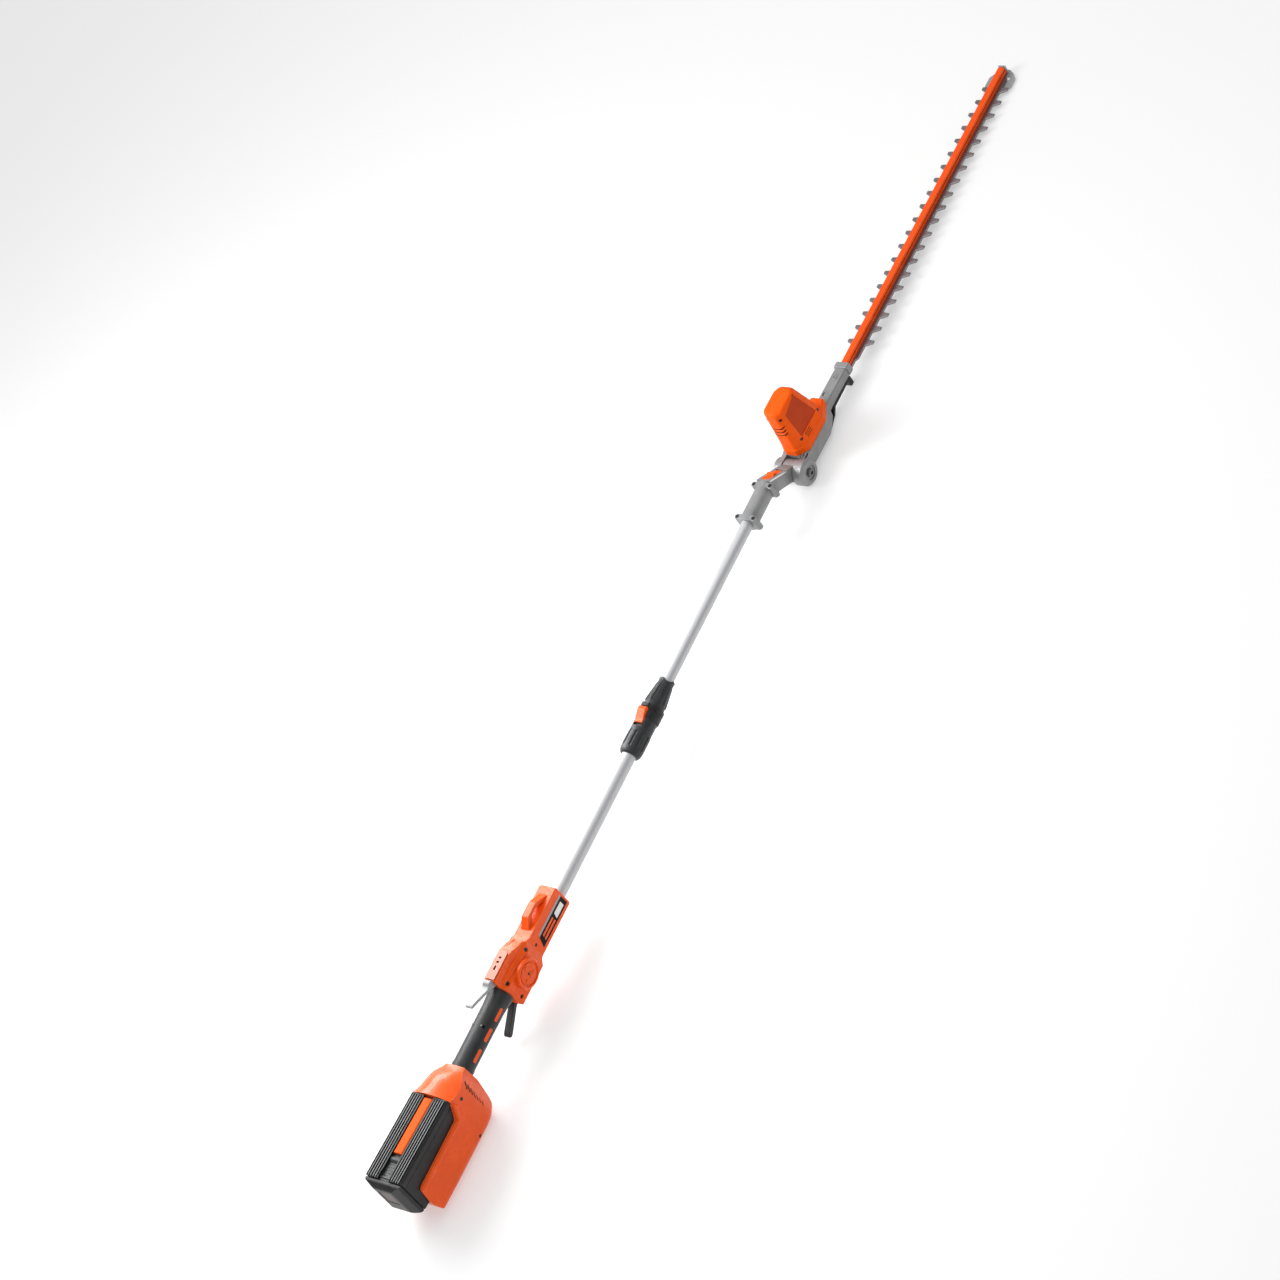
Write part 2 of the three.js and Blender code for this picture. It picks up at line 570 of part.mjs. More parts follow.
function addDrive() {
  const [gearLow, gearHigh] = [-36, -31];
  const gearPhase = Math.PI + Math.PI / GEAR.gearTeeth;
  const gear = prism('z', gearOutline(GEAR.gearTeeth, gearPhase), gearLow, gearHigh)
    .subtract(rod('z', CRANK.shaft + GAP, -60, 0, [0, 0, 0]));
  piece('drive_gear', gear.translate([CRANK_X, 0, 0]), STEEL, head);
  const pinion = prism('z', gearOutline(GEAR.pinionTeeth, 0), gearLow, gearHigh)
    .subtract(rod('z', 2 + GAP, -60, 0, [0, 0, 0], 12));
  piece('pinion', pinion.translate([MOTOR_X, 0, 0]), STEEL, head);

  const { upperZ, lowerZ } = BLADE;
  const shaft = rod('z', CRANK.shaft, -53.9, -26.3, [CRANK_X, 0, 0])
    .add(rod('z', CRANK.pin, upperZ - 0.1, upperZ + 2.3, [CRANK_X, CRANK.throw, 0]))
    .add(rod('z', CRANK.pin, lowerZ - 0.2, lowerZ + 2, [CRANK_X, -CRANK.throw, 0]));
  piece('crankshaft', shaft, STEEL, head);
  for (const [place, low, high] of [['upper', -30.5, -26.3], ['lower', -54, -50]]) {
    const bearing = ring('z', 9, CRANK.shaft + GAP, low, high, [CRANK_X, 0, 0]);
    piece(`crank_bearing_${place}`, bearing, STEEL, head);
  }
}

// One side of a blade, from the rear yoke to the tip; every tooth leans forward.
function bladeEdge() {
  const { rear, yokeHalf, shankHalf, bodyFrom, bodyHalf, toothHalf, tip } = BLADE;
  const edge = [
    [rear, yokeHalf], [rear + 33, yokeHalf], [rear + 36, shankHalf], [bodyFrom - 6, shankHalf],
  ];
  edge.push([bodyFrom, bodyHalf]);
  for (let i = 0; i < BLADE.teeth; i += 1) {
    const x = BLADE.firstTooth + i * BLADE.pitch;
    edge.push([x - 10, bodyHalf], [x - 3.2, toothHalf], [x + 3.2, toothHalf], [x + 4.8, bodyHalf]);
  }
  edge.push([tip - 4, bodyHalf], [tip, bodyHalf - 4]);
  return edge;
}

// The window is long enough for the crank pin at any place of the blade.
function addBlade(name, z) {
  const across = CRANK.throw + CRANK.pin + GAP;
  const along = across + CRANK.throw;
  let blade = prism('z', mirrored(bladeEdge()), z, z + BLADE.thickness)
    .subtract(block([CRANK_X - along, CRANK_X + along], [-across, across], [-60, -20]));
  for (const x of BOLT_X) {
    blade = blade.subtract(block([x - 10.6, x + 10.6], [-3.4, 3.4], [-60, -20]));
  }
  piece(name, blade, STEEL, head);
}

function addBladeBar() {
  const { half, low, top } = BAR;
  const groove = half - 1;
  const section = [
    [-half, low], [half, low], [half, low + 5.5], [groove, low + 6], [groove, low + 7],
    [half, low + 7.5], [half, top - 1.5], [half - 1.5, top], [-half + 1.5, top], [-half, top - 1.5],
    [-half, low + 7.5], [-groove, low + 7], [-groove, low + 6], [-half, low + 5.5],
  ];
  let bar = prism('x', section, BAR.from, BAR.to);
  for (const x of BOLT_X) {
    bar = bar.subtract(rod('z', 3.3, low - 5, low + 6, [x, 0, 0], 12));
  }
  piece('blade_bar', bar, ORANGE, head);

  const guardTop = BLADE.lowerZ - GAP;
  const guardPlan = mirrored([[1262, 12], [1271, 28], [1294, 28], [1305, 18], [1313, 8]]);
  const guard = prism('z', guardPlan, guardTop - 2.5, guardTop)
    .add(block([BAR.to + GAP, BAR.to + 3], [-6, 6], [guardTop - 2, BAR.top - 2]))
    .subtract(rod('z', 3.3, -60, -40, [BOLT_X[2], 0, 0], 12));
  piece('tip_guard', guard, CASTING, head);

  for (const [i, place] of ['rear', 'middle', 'tip'].entries()) {
    const under = place === 'tip' ? guardTop - 2.5 - GAP : guardTop;
    const profile = [
      [under - 2.4, 0], [under - 2.4, 6], [under, 6], [under, 2.9], [low + 5.6, 2.9], [low + 5.6, 0],
    ];
    piece(`blade_bolt_${place}`, turned('z', profile, [BOLT_X[i], 0, 0], 14), STEEL, head);
  }
}

// ---- assembly -----------------------------------------------------------------------
addRearHousing();
addTerminalBlock();
addBattery();
addGrip();
addControlHousing();
addTrigger();
addLockOff();
addPoles();
addSocketAndArm();
addPivotBolt();
addGearCase();
addMotor();
addDrive();
addBlade('upper_blade', BLADE.upperZ);
addBlade('lower_blade', BLADE.lowerZ);
addBladeBar();

// The head is drawn level, then droops a little about its pivot.
head.children.forEach((mesh) => mesh.geometry.translate(-PIVOT.x, 0, -PIVOT.z));
head.position.set(PIVOT.x, 0, PIVOT.z);
head.rotation.y = THREE.MathUtils.degToRad(HEAD_TILT);
batteryBay.position.x = BATTERY.x;
batteryBay.rotation.y = THREE.MathUtils.degToRad(BATTERY.tilt);
trimmer.add(batteryBay, head);
trimmer.position.set(-FOOTPRINT_X, 0, -FLOOR_Z);

export default trimmer;
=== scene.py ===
"""Looks of the cordless pole hedge trimmer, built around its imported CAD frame."""
import json
import math

import bmesh
import bpy
from mathutils import Matrix, Vector


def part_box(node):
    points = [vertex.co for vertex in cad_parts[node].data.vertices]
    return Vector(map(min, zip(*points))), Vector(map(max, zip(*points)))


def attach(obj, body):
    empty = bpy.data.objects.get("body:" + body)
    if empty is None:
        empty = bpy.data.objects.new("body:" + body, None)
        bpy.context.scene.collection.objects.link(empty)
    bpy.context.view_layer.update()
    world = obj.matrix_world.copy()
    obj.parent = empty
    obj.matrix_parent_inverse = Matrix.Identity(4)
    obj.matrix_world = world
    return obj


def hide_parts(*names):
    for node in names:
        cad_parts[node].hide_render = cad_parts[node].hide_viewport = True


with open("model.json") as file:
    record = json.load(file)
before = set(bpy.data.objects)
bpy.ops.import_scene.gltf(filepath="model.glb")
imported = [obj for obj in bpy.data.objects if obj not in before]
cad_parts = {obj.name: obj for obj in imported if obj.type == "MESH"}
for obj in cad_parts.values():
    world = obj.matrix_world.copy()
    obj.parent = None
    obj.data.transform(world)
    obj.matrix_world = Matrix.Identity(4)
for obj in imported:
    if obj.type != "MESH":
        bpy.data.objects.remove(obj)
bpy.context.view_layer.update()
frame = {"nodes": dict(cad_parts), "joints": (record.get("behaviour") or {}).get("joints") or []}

JOINTS = {joint["name"]: joint for joint in frame["joints"]}
MM = 0.001

# ---- places ---------------------------------------------------------------------------
# Pieces are drawn in millimetres along the pole: TUBE_REAR is the rear end of the outer
# tube, y = 0 and z = 0 are the pole's axis. The battery and the head have a tilted space.
TUBE_REAR = -562
TUBE_LOW, TUBE_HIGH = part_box("outer_tube")
TOOL = Matrix.Translation((TUBE_LOW.x - TUBE_REAR * MM, 0, (TUBE_LOW.z + TUBE_HIGH.z) / 2))
TOOL = TOOL @ Matrix.Scale(MM, 4)
PIVOT = Vector(JOINTS["head_tilt"]["pos_m"])
BLADE_AXIS = JOINTS["upper_blade_slide"]["axis"]
BATTERY_AXIS = JOINTS["battery_slide"]["axis"]
DROOP = math.atan2(-BLADE_AXIS[2], BLADE_AXIS[0])
HEAD = Matrix.Translation(PIVOT) @ Matrix.Rotation(DROOP, 4, "Y") @ Matrix.Translation(-PIVOT)
HEAD = HEAD @ TOOL
BAY_TILT = math.atan2(BATTERY_AXIS[2], -BATTERY_AXIS[0])
BAY_FRONT = -848
BAY = TOOL @ Matrix.Translation((BAY_FRONT, 0, 0)) @ Matrix.Rotation(BAY_TILT, 4, "Y")
PIVOT_CENTRE = (414, 0, -43)
GRIP_AXIS = (0, 0, 12)
DISC_CENTRE = (-596, 0, 8)
SIDES = {"left": 1, "right": -1}
GAP = 0.3


# ---- solids ---------------------------------------------------------------------------
def linked(name, data):
    made = bpy.data.objects.new(name, data)
    bpy.context.scene.collection.objects.link(made)
    return made


def to_object(bm):
    bmesh.ops.recalc_face_normals(bm, faces=bm.faces)
    mesh = bpy.data.meshes.new("solid")
    bm.to_mesh(mesh)
    bm.free()
    return linked("solid", mesh)


def skin(rings, closed=False):
    """A solid through rings of points; a ring of one point is a pole."""
    bm = bmesh.new()
    rows = [[bm.verts.new(p) for p in ring] for ring in rings]
    pairs = list(zip(rows, rows[1:])) + ([(rows[-1], rows[0])] if closed else [])
    for low, high in pairs:
        count = max(len(low), len(high))
        for i in range(count):
            j = (i + 1) % count
            if len(low) == 1:
                bm.faces.new((low[0], high[i], high[j]))
            elif len(high) == 1:
                bm.faces.new((low[i], low[j], high[0]))
            else:
                bm.faces.new((low[i], low[j], high[j], high[i]))
    if not closed:
        for row in (rows[0], rows[-1]):
            if len(row) > 2:
                bm.faces.new(row)
    return to_object(bm)


def on_axis(axis, a, b, along):
    return {"x": (along, a, b), "y": (a, along, b), "z": (a, b, along)}[axis]


def prism(axis, outline, low, high):
    return skin([[on_axis(axis, a, b, t) for a, b in outline] for t in (low, high)])


def rectangle(a, b):
    return [(a[0], b[0]), (a[1], b[0]), (a[1], b[1]), (a[0], b[1])]


def block(x, y, z):
    return prism("z", rectangle(x, y), z[0], z[1])


def lathe(axis, profile, centre=(0, 0, 0), segments=64):
    """A turned solid from (place along the axis, radius) points."""
    closed = profile[0] == profile[-1]
    rings = []
    for along, radius in profile[:-1] if closed else profile:
        count = segments if radius > 0 else 1
        ring = []
        for i in range(count):
            angle = 2 * math.pi * (i + 0.5) / segments
            a, b = radius * math.cos(angle), radius * math.sin(angle)
            ring.append(Vector(on_axis(axis, a, b, along)) + Vector(centre))
        rings.append(ring)
    return skin(rings, closed)


def rod(axis, radius, low, high, centre=(0, 0, 0), segments=32):
    return lathe(axis, [(low, 0), (low, radius), (high, radius), (high, 0)], centre, segments)


def loft(sections):
    """A solid through (outline, z) sections."""
    return skin([[(x, y, z) for x, y in outline] for outline, z in sections])


def sweep(path, radius, segments=10):
    """A round bar along a path of points."""
    points = [Vector(p) for p in path]
    rings = []
    for i, point in enumerate(points):
        ahead = (points[min(i + 1, len(points) - 1)] - point).normalized()
        behind = (point - points[max(i - 1, 0)]).normalized()
        tangent = (ahead + behind).normalized()
        side = tangent.cross(Vector((0, 1, 0))).normalized()
        stretch = 1 / max(0.3, tangent.dot(ahead if ahead.length else behind))
        ring = []
        for k in range(segments):
            angle = 2 * math.pi * k / segments
            offset = side * math.cos(angle) * stretch + Vector((0, 1, 0)) * math.sin(angle)
            ring.append(point + offset * radius)
        rings.append(ring)
    return skin(rings)


def rounded(outline, radius, steps=4):
    result = []
    for i, point in enumerate(outline):
        corner = Vector(point)
        before, after = Vector(outline[i - 1]), Vector(outline[(i + 1) % len(outline)])
        reach = min(radius, (before - corner).length * 0.48, (after - corner).length * 0.48)
        start = corner + (before - corner).normalized() * reach
        end = corner + (after - corner).normalized() * reach
        for k in range(steps + 1):
            t = k / steps
            result.append(tuple(start * (1 - t) ** 2 + corner * 2 * t * (1 - t) + end * t * t))
    return result


def span(sign, near, far):
    """The stretch between two distances on one side of the middle."""
    return sorted((sign * near, sign * far))


def mirrored(outline):
    return outline + [(a, -b) for a, b in reversed(outline)]


def turned(axis, degrees):
    return Matrix.Rotation(math.radians(degrees), 4, axis)


def moved(solid, matrix):
    solid.data.transform(matrix)
    return solid


def copy(solid):
    return linked("solid", solid.data.copy())


def boolean(solid, others, operation):
    for other in others:
        modifier = solid.modifiers.new("combine", "BOOLEAN")
        modifier.operation = operation
        modifier.solver = "MANIFOLD"
        modifier.object = other
        graph = bpy.context.evaluated_depsgraph_get()
        result = bpy.data.meshes.new_from_object(solid.evaluated_get(graph))
        solid.modifiers.clear()
        solid.data = result
        bpy.data.objects.remove(other)
    return solid


def cut(solid, *others):
    return boolean(solid, others, "DIFFERENCE")


def add(solid, *others):
    return boolean(solid, others, "UNION")


def common(solid, *others):
    return boolean(solid, others, "INTERSECT")


# ---- materials ------------------------------------------------------------------------
def node(tree, kind, **inputs):
    made = tree.nodes.new(kind)
    for name, value in inputs.items():
        socket = made.inputs[name.replace("_", " ")]
        if isinstance(value, bpy.types.NodeSocket):
            tree.links.new(value, socket)
        else:
            socket.default_value = value
    return made


def rgba(colour):
    return (*colour, 1.0)


CLOUD_SCALE = 38.0
DUST_SCALE = 14.0
DUST = (0.42, 0.39, 0.34)
GRAIN_HEIGHT = 0.0004
EDGE_RADIUS = 0.0012
ROUGH_SPREAD = 0.12


def material(name, colour, rough, metal=0.0, mottle=0.06, grain=0.0009, depth=0.25,
             worn=None, streak=None, gloss=0.5, dust=0.0):
    """A procedural finish: mottled colour, grain of a given size in metres, worn edges."""
    made = bpy.data.materials.new(name)
    made.use_nodes = True
    tree = made.node_tree
    shader = tree.nodes["Principled BSDF"]
    place = node(tree, "ShaderNodeTexCoord").outputs["Object"]
    if streak:
        place = node(tree, "ShaderNodeMapping", Vector=place, Scale=streak).outputs["Vector"]
    cloud = node(tree, "ShaderNodeTexNoise", Vector=place, Scale=CLOUD_SCALE, Detail=5.0,
                 Roughness=0.6)
    fine = node(tree, "ShaderNodeTexNoise", Vector=place, Scale=0.5 / grain, Detail=2.0)
    cells = node(tree, "ShaderNodeTexVoronoi", Vector=place, Scale=1 / grain)

    shade = tree.nodes.new("ShaderNodeValToRGB")
    dark = [c * (1 - mottle) for c in colour]
    light = [min(1.0, c * (1 + mottle) + mottle * 0.04) for c in colour]
    low, high = shade.color_ramp.elements
    low.position, high.position = 0.3, 0.7
    low.color, high.color = rgba(dark), rgba(light)
    tree.links.new(cloud.outputs["Fac"], shade.inputs["Fac"])
    tone = shade.outputs["Color"]
    if dust:
        tone = dusted(tree, tone, place, dust)
    if worn:
        tone = edged(tree, tone, worn, fine.outputs["Fac"])
    tree.links.new(tone, shader.inputs["Base Color"])

    spread = node(tree, "ShaderNodeMapRange", Value=cloud.outputs["Fac"],
                  To_Min=rough * (1 - ROUGH_SPREAD), To_Max=rough * (1 + ROUGH_SPREAD))
    tree.links.new(spread.outputs["Result"], shader.inputs["Roughness"])
    height = node(tree, "ShaderNodeMath", Value=fine.outputs["Fac"])
    height.operation = "ADD"
    tree.links.new(cells.outputs["Distance"], height.inputs[1])
    bump = node(tree, "ShaderNodeBump", Height=height.outputs["Value"], Strength=depth,
                Distance=GRAIN_HEIGHT)
    tree.links.new(bump.outputs["Normal"], shader.inputs["Normal"])
    shader.inputs["Metallic"].default_value = metal
    shader.inputs["Specular IOR Level"].default_value = gloss
    return made


def mixed(tree, share, first, second):
    """The first colour with a share of the second, plain one over it."""
    mix = tree.nodes.new("ShaderNodeMix")
    mix.data_type = "RGBA"
    tree.links.new(share, mix.inputs["Factor"])
    tree.links.new(first, mix.inputs["A"])
    mix.inputs["B"].default_value = rgba(second)
    return mix.outputs["Result"]


def dusted(tree, tone, place, amount):
    """Faint patches of dust."""
    patches = node(tree, "ShaderNodeTexNoise", Vector=place, Scale=DUST_SCALE, Detail=6.0)
    share = node(tree, "ShaderNodeMapRange", Value=patches.outputs["Fac"], From_Min=0.45,
                 From_Max=0.8, To_Max=amount)
    return mixed(tree, share.outputs["Result"], tone, DUST)


def edged(tree, tone, worn, noise):
    """Rubbed edges: where the rounded normal leaves the true one, broken up by noise."""
    soft = node(tree, "ShaderNodeBevel", Radius=EDGE_RADIUS)
    soft.samples = 4
    true = tree.nodes.new("ShaderNodeNewGeometry")
    match = tree.nodes.new("ShaderNodeVectorMath")
    match.operation = "DOT_PRODUCT"
    tree.links.new(soft.outputs["Normal"], match.inputs[0])
    tree.links.new(true.outputs["Normal"], match.inputs[1])
    edge = node(tree, "ShaderNodeMapRange", Value=match.outputs["Value"], From_Min=0.99,
                From_Max=0.8)
    amount = node(tree, "ShaderNodeMath", Value=edge.outputs["Result"])
    amount.operation = "MULTIPLY"
    tree.links.new(noise, amount.inputs[1])
    return mixed(tree, amount.outputs["Value"], tone, worn)


ORANGE = material("orange_shell", (0.84, 0.088, 0.003), 0.27, worn=(0.95, 0.34, 0.13), depth=0.1,
                  gloss=0.26)
HEAD_ORANGE = material("orange_head", (0.9, 0.1, 0.004), 0.42, worn=(1.0, 0.26, 0.06),
                       depth=0.12, gloss=0.06)
# painted shade: a darker copy of the orange for the motor's shaded side faces
SHADED_ORANGE = material("orange_painted_shade", (0.5, 0.045, 0.002), 0.5, worn=(0.75, 0.16, 0.04),
                       depth=0.12, gloss=0.12)
BAR_ORANGE = material("orange_coat", (0.95, 0.085, 0.002), 0.4, mottle=0.08, depth=0.1,
                      worn=(0.9, 0.35, 0.15), gloss=0.15)
CHARCOAL = material("charcoal_grip", (0.013, 0.0145, 0.016), 0.4, mottle=0.16, depth=0.4,
                    worn=(0.12, 0.12, 0.125), dust=0.05, gloss=0.4)
BLACK = material("battery_black", (0.007, 0.0075, 0.0085), 0.4, mottle=0.2, depth=0.3,
                 worn=(0.06, 0.06, 0.065), dust=0.03, gloss=0.3)
# painted highlight: light grey for the tops of the battery's ribs
CREST_HIGHLIGHT = material("battery_crest_highlight", (0.13, 0.132, 0.135), 0.45, mottle=0.2, depth=0.2)
# real black on the neck plate and panel windows; in the gear case's slots it is painted shade
BLACK_AND_SHADE = material("black_and_painted_shade", (0.004, 0.0035, 0.0035), 0.6, mottle=0.3, gloss=0.1)
LIGHT_GREY = material("light_grey", (0.3, 0.305, 0.31), 0.38, worn=(0.75, 0.76, 0.77), depth=0.15)
# painted sheen: a paler orange standing in for the light reflected off the panel's top
PANEL_SHEEN = material("panel_painted_sheen", (0.55, 0.13, 0.065), 0.4, worn=(0.95, 0.5, 0.35), depth=0.12)
CASTING = material("cast_grey", (0.26, 0.262, 0.265), 0.42, metal=0.35, mottle=0.14, grain=0.0014,
                   depth=0.45, worn=(0.6, 0.6, 0.61), dust=0.05)
# painted highlight: a near-white strip standing in for the light caught on a chamfer
HIGHLIGHT_STRIP = material("painted_highlight_edge", (0.86, 0.86, 0.87), 0.25, metal=0.6, mottle=0.05)
TUBE = material("pole_silver", (0.5, 0.505, 0.515), 0.46, metal=0.45, mottle=0.04, depth=0.12,
                streak=(0.03, 1.0, 1.0))
STEEL = material("plated_steel", (0.36, 0.36, 0.37), 0.32, metal=0.9, mottle=0.1,
                 worn=(0.7, 0.7, 0.71))
HUB_STEEL = material("hub_steel", (0.15, 0.15, 0.155), 0.4, metal=0.6, mottle=0.2)
DARK_STEEL = material("dark_screw", (0.045, 0.045, 0.048), 0.4, metal=0.6, mottle=0.2)
BLADE = material("blade_steel", (0.21, 0.19, 0.2), 0.34, metal=0.8, mottle=0.16, grain=0.0007,
                 streak=(1.0, 0.08, 1.0), worn=(0.6, 0.58, 0.59))
COPPER = material("winding_copper", (0.42, 0.17, 0.07), 0.4, metal=0.8, mottle=0.2)
BOARD = material("board_green", (0.02, 0.12, 0.05), 0.45, mottle=0.25, grain=0.003)
CELL = material("cell_sleeve", (0.04, 0.16, 0.3), 0.35, mottle=0.1)
WHITE_MARK = material("white_mark", (0.8, 0.8, 0.78), 0.5, mottle=0.05)
GAUGE = material("gauge_window", (0.07, 0.04, 0.033), 0.42, mottle=0.3)
# painted shade: a dark orange-brown laid into slots and grooves where their shade falls
PAINTED_SHADE = material("vent_shadow", (0.09, 0.008, 0.002), 0.7, mottle=0.3, gloss=0.1)


# ---- pieces ---------------------------------------------------------------------------
WELD = 0.002 * MM
FLAT_ANGLE = 0.3


def finish(solid, name, look, body, nodes=(), bevel=0.5, space=None, angle=32):
    """Moves a drawn solid into the frame and makes it a piece of the object."""
    solid.data.transform(space or TOOL)
    solid.name = name
    solid.data.name = name
    solid.data.materials.clear()
    solid.data.materials.append(look)
    tidy = bmesh.new()
    tidy.from_mesh(solid.data)
    bmesh.ops.remove_doubles(tidy, verts=tidy.verts, dist=WELD)
    bmesh.ops.dissolve_degenerate(tidy, dist=WELD, edges=tidy.edges)
    bmesh.ops.dissolve_limit(tidy, angle_limit=math.radians(FLAT_ANGLE), verts=tidy.verts,
                             edges=tidy.edges)
    bmesh.ops.recalc_face_normals(tidy, faces=tidy.faces)
    tidy.to_mesh(solid.data)
    tidy.free()
    solid.data.shade_smooth()
    if bevel:
        edge = solid.modifiers.new("edge", "BEVEL")
        edge.width = bevel * MM
        edge.segments = 3
        edge.limit_method = "ANGLE"
        edge.angle_limit = math.radians(angle)
        weighted = solid.modifiers.new("normals", "WEIGHTED_NORMAL")
        weighted.keep_sharp = True
    else:
        solid.data.set_sharp_from_angle(angle=math.radians(angle))
    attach(solid, body)
    if nodes:
        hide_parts(*nodes)
    return solid


def halves(solid, name, look, body, node_name, bevel=0.8, space=None):
    """Splits a shell down its middle into a left and a right piece."""
    for side, sign in SIDES.items():
        near, far = span(sign, GAP / 2, 200)
        part = common(copy(solid), block((-2000, 2000), (near, far), (-500, 500)))
        finish(part, f"{name}_{side}", look, body, [f"{node_name}_{side}"], bevel, space)
    bpy.data.objects.remove(solid)


def merged(solids):
    return add(solids[0], *solids[1:])


def screws(name, places, body, space=None, radius=2.9, inset=2.5):
    """Sunk screws seen from the sides: (x, y, z) of each one's mouth."""
    heads = []
    for x, y, z in places:
        sign = 1 if y > 0 else -1
        low, high = sorted((y - sign * (inset + 4), y - sign * inset))
        head = rod("y", radius, low, high, (x, 0, z), 20)
        slot_low, slot_high = sorted((y - sign * (inset + 1.2), y))
        heads.append(cut(head, rod("y", radius * 0.5, slot_low, slot_high, (x, 0, z), 6)))
    finish(merged(heads), name, DARK_STEEL, body, bevel=0.2, space=space)


def wells(places, radius=3.4, depth=6):
    """Cutters for the mouths of sunk screws."""
    made = []
    for x, y, z in places:
        sign = 1 if y > 0 else -1
        low, high = sorted((y - sign * depth, y + sign * 8))
        made.append(rod("y", radius, low, high, (x, 0, z), 24))
    return made


def both_sides(places):
    return [(x, sign * y, z) for x, y, z in places for sign in (-1, 1)]


# ---- rear housing and battery ---------------------------------------------------------
def shell_section(x, half, low, crease, top, corner):
    """One cross-section of the rear housing: round below, a crowned roof above a crease."""
    corner_steps, roof_steps = 6, 12
    points = []
    for i in range(corner_steps + 1):
        angle = math.pi / 2 * i / corner_steps
        y = half - corner + corner * math.sin(angle)
        points.append((y, low + corner - corner * math.cos(angle)))
    for i in range(1, roof_steps):
        share = 1 - i / roof_steps
        points.append((half * share, crease + (top - crease) * (1 - share ** 2)))
    right = [(-y, z) for y, z in reversed(points)]
    return [(x, y, z) for y, z in points + [(0, top)] + right + [(0, low)]]


def in_bay(solid):
    """Puts a solid drawn in the battery's space into the pole's space."""
    return moved(solid, TOOL.inverted() @ BAY)


def rear_housing():
    # x, half width, underside, crease, crown of the roof, radius of the lower corners
    stations = [
        (-995, 42, -67, 50, 58, 22), (-848, 42, -67, 50, 58, 22), (-843, 42, -67, 45, 56.5, 22),
        (-836, 42, -67, 40, 54.8, 22), (-829, 41.8, -67, 37, 53, 22),
        (-821, 41.2, -67, 35, 51.3, 22),
        (-814, 39.8, -67, 34.5, 49.4, 22), (-807, 36.8, -67, 35.3, 46.6, 22),
        (-800, 32.4, -67, 36, 43, 20), (-793, 27.4, -67, 34.6, 38.4, 18),
        (-787, 23.6, -67, 32, 34.6, 16), (-780, 20.8, -67, 29.6, 32, 14),
    ]
    shell = skin([shell_section(*station) for station in stations])
    side = rounded([
        (-980, -53), (-987, -22), (-981, 18), (-861, 18), (-846, 46), (-847, 60), (-780, 60),
        (-780, -9), (-784, -24), (-789, -42), (-798, -58), (-811, -67), (-851, -67), (-860, -60),
    ], 5, 3)
    shell = common(shell, prism("y", side, -60, 60))
    bead = [(-980, 11), (-977, 12.6), (-860, 12.6), (-855, 16), (-846, 35), (-844, 37)]
    groove = [(-995, 6.6), (-858, 6.6), (-850, 12), (-838, 37)]
    for sign in (-1, 1):
        shell = add(shell, sweep([(x, sign * 41.4, z) for x, z in bead], 5.0, 14))
        shell = cut(shell, sweep([(x, sign * 42.6, z) for x, z in groove], 1.5, 10))
    bay = in_bay(block((-200, 0.5), (-38.8, 38.8), (-26.3, 90)))
    under = in_bay(block((-126, -2), (-37.5, 37.5), (-50, -20)))
    shell = cut(shell, bay, under, rod("x", 9, -860, -770, GRIP_AXIS),
                *shoulder_slots((-6, 6)))
    places = both_sides([(-828, 42, 26), (-853, 42, -50)])
    shell = cut(shell, *wells(places))
    screws("rear_housing_screws", places, "handle")
    # painted shade: dark blocks sunk inside the shoulder slots so the vents read dark
    finish(merged(shoulder_slots((-7, -1.6))), "rear_vent_painted_shade", PAINTED_SHADE, "handle",
           bevel=0)
    halves(shell, "rear_shell", ORANGE, "handle", "rear_housing", bevel=1.0)


def shoulder_slots(depths):
    """Seven leaning slots on each shoulder, between two depths from its surface."""
    shoulder_turn, slot_lean, pitch, half_width = 31, -40, 8.2, 1.35
    lean = turned("Y", slot_lean)
    made = []
    for i in range(7):
        half_length = 6.2 - 0.35 * i
        for sign in (-1, 1):
            slot = block((-half_length, half_length), span(sign, *depths),
                         (-half_width, half_width))
            turn = turned("Z", -sign * shoulder_turn)
            place = Matrix.Translation((-803.5 - 0.9 * i, sign * (34.8 + 0.55 * i),
                                        24 - pitch * i))
            made.append(moved(slot, place @ turn @ lean))
    return made


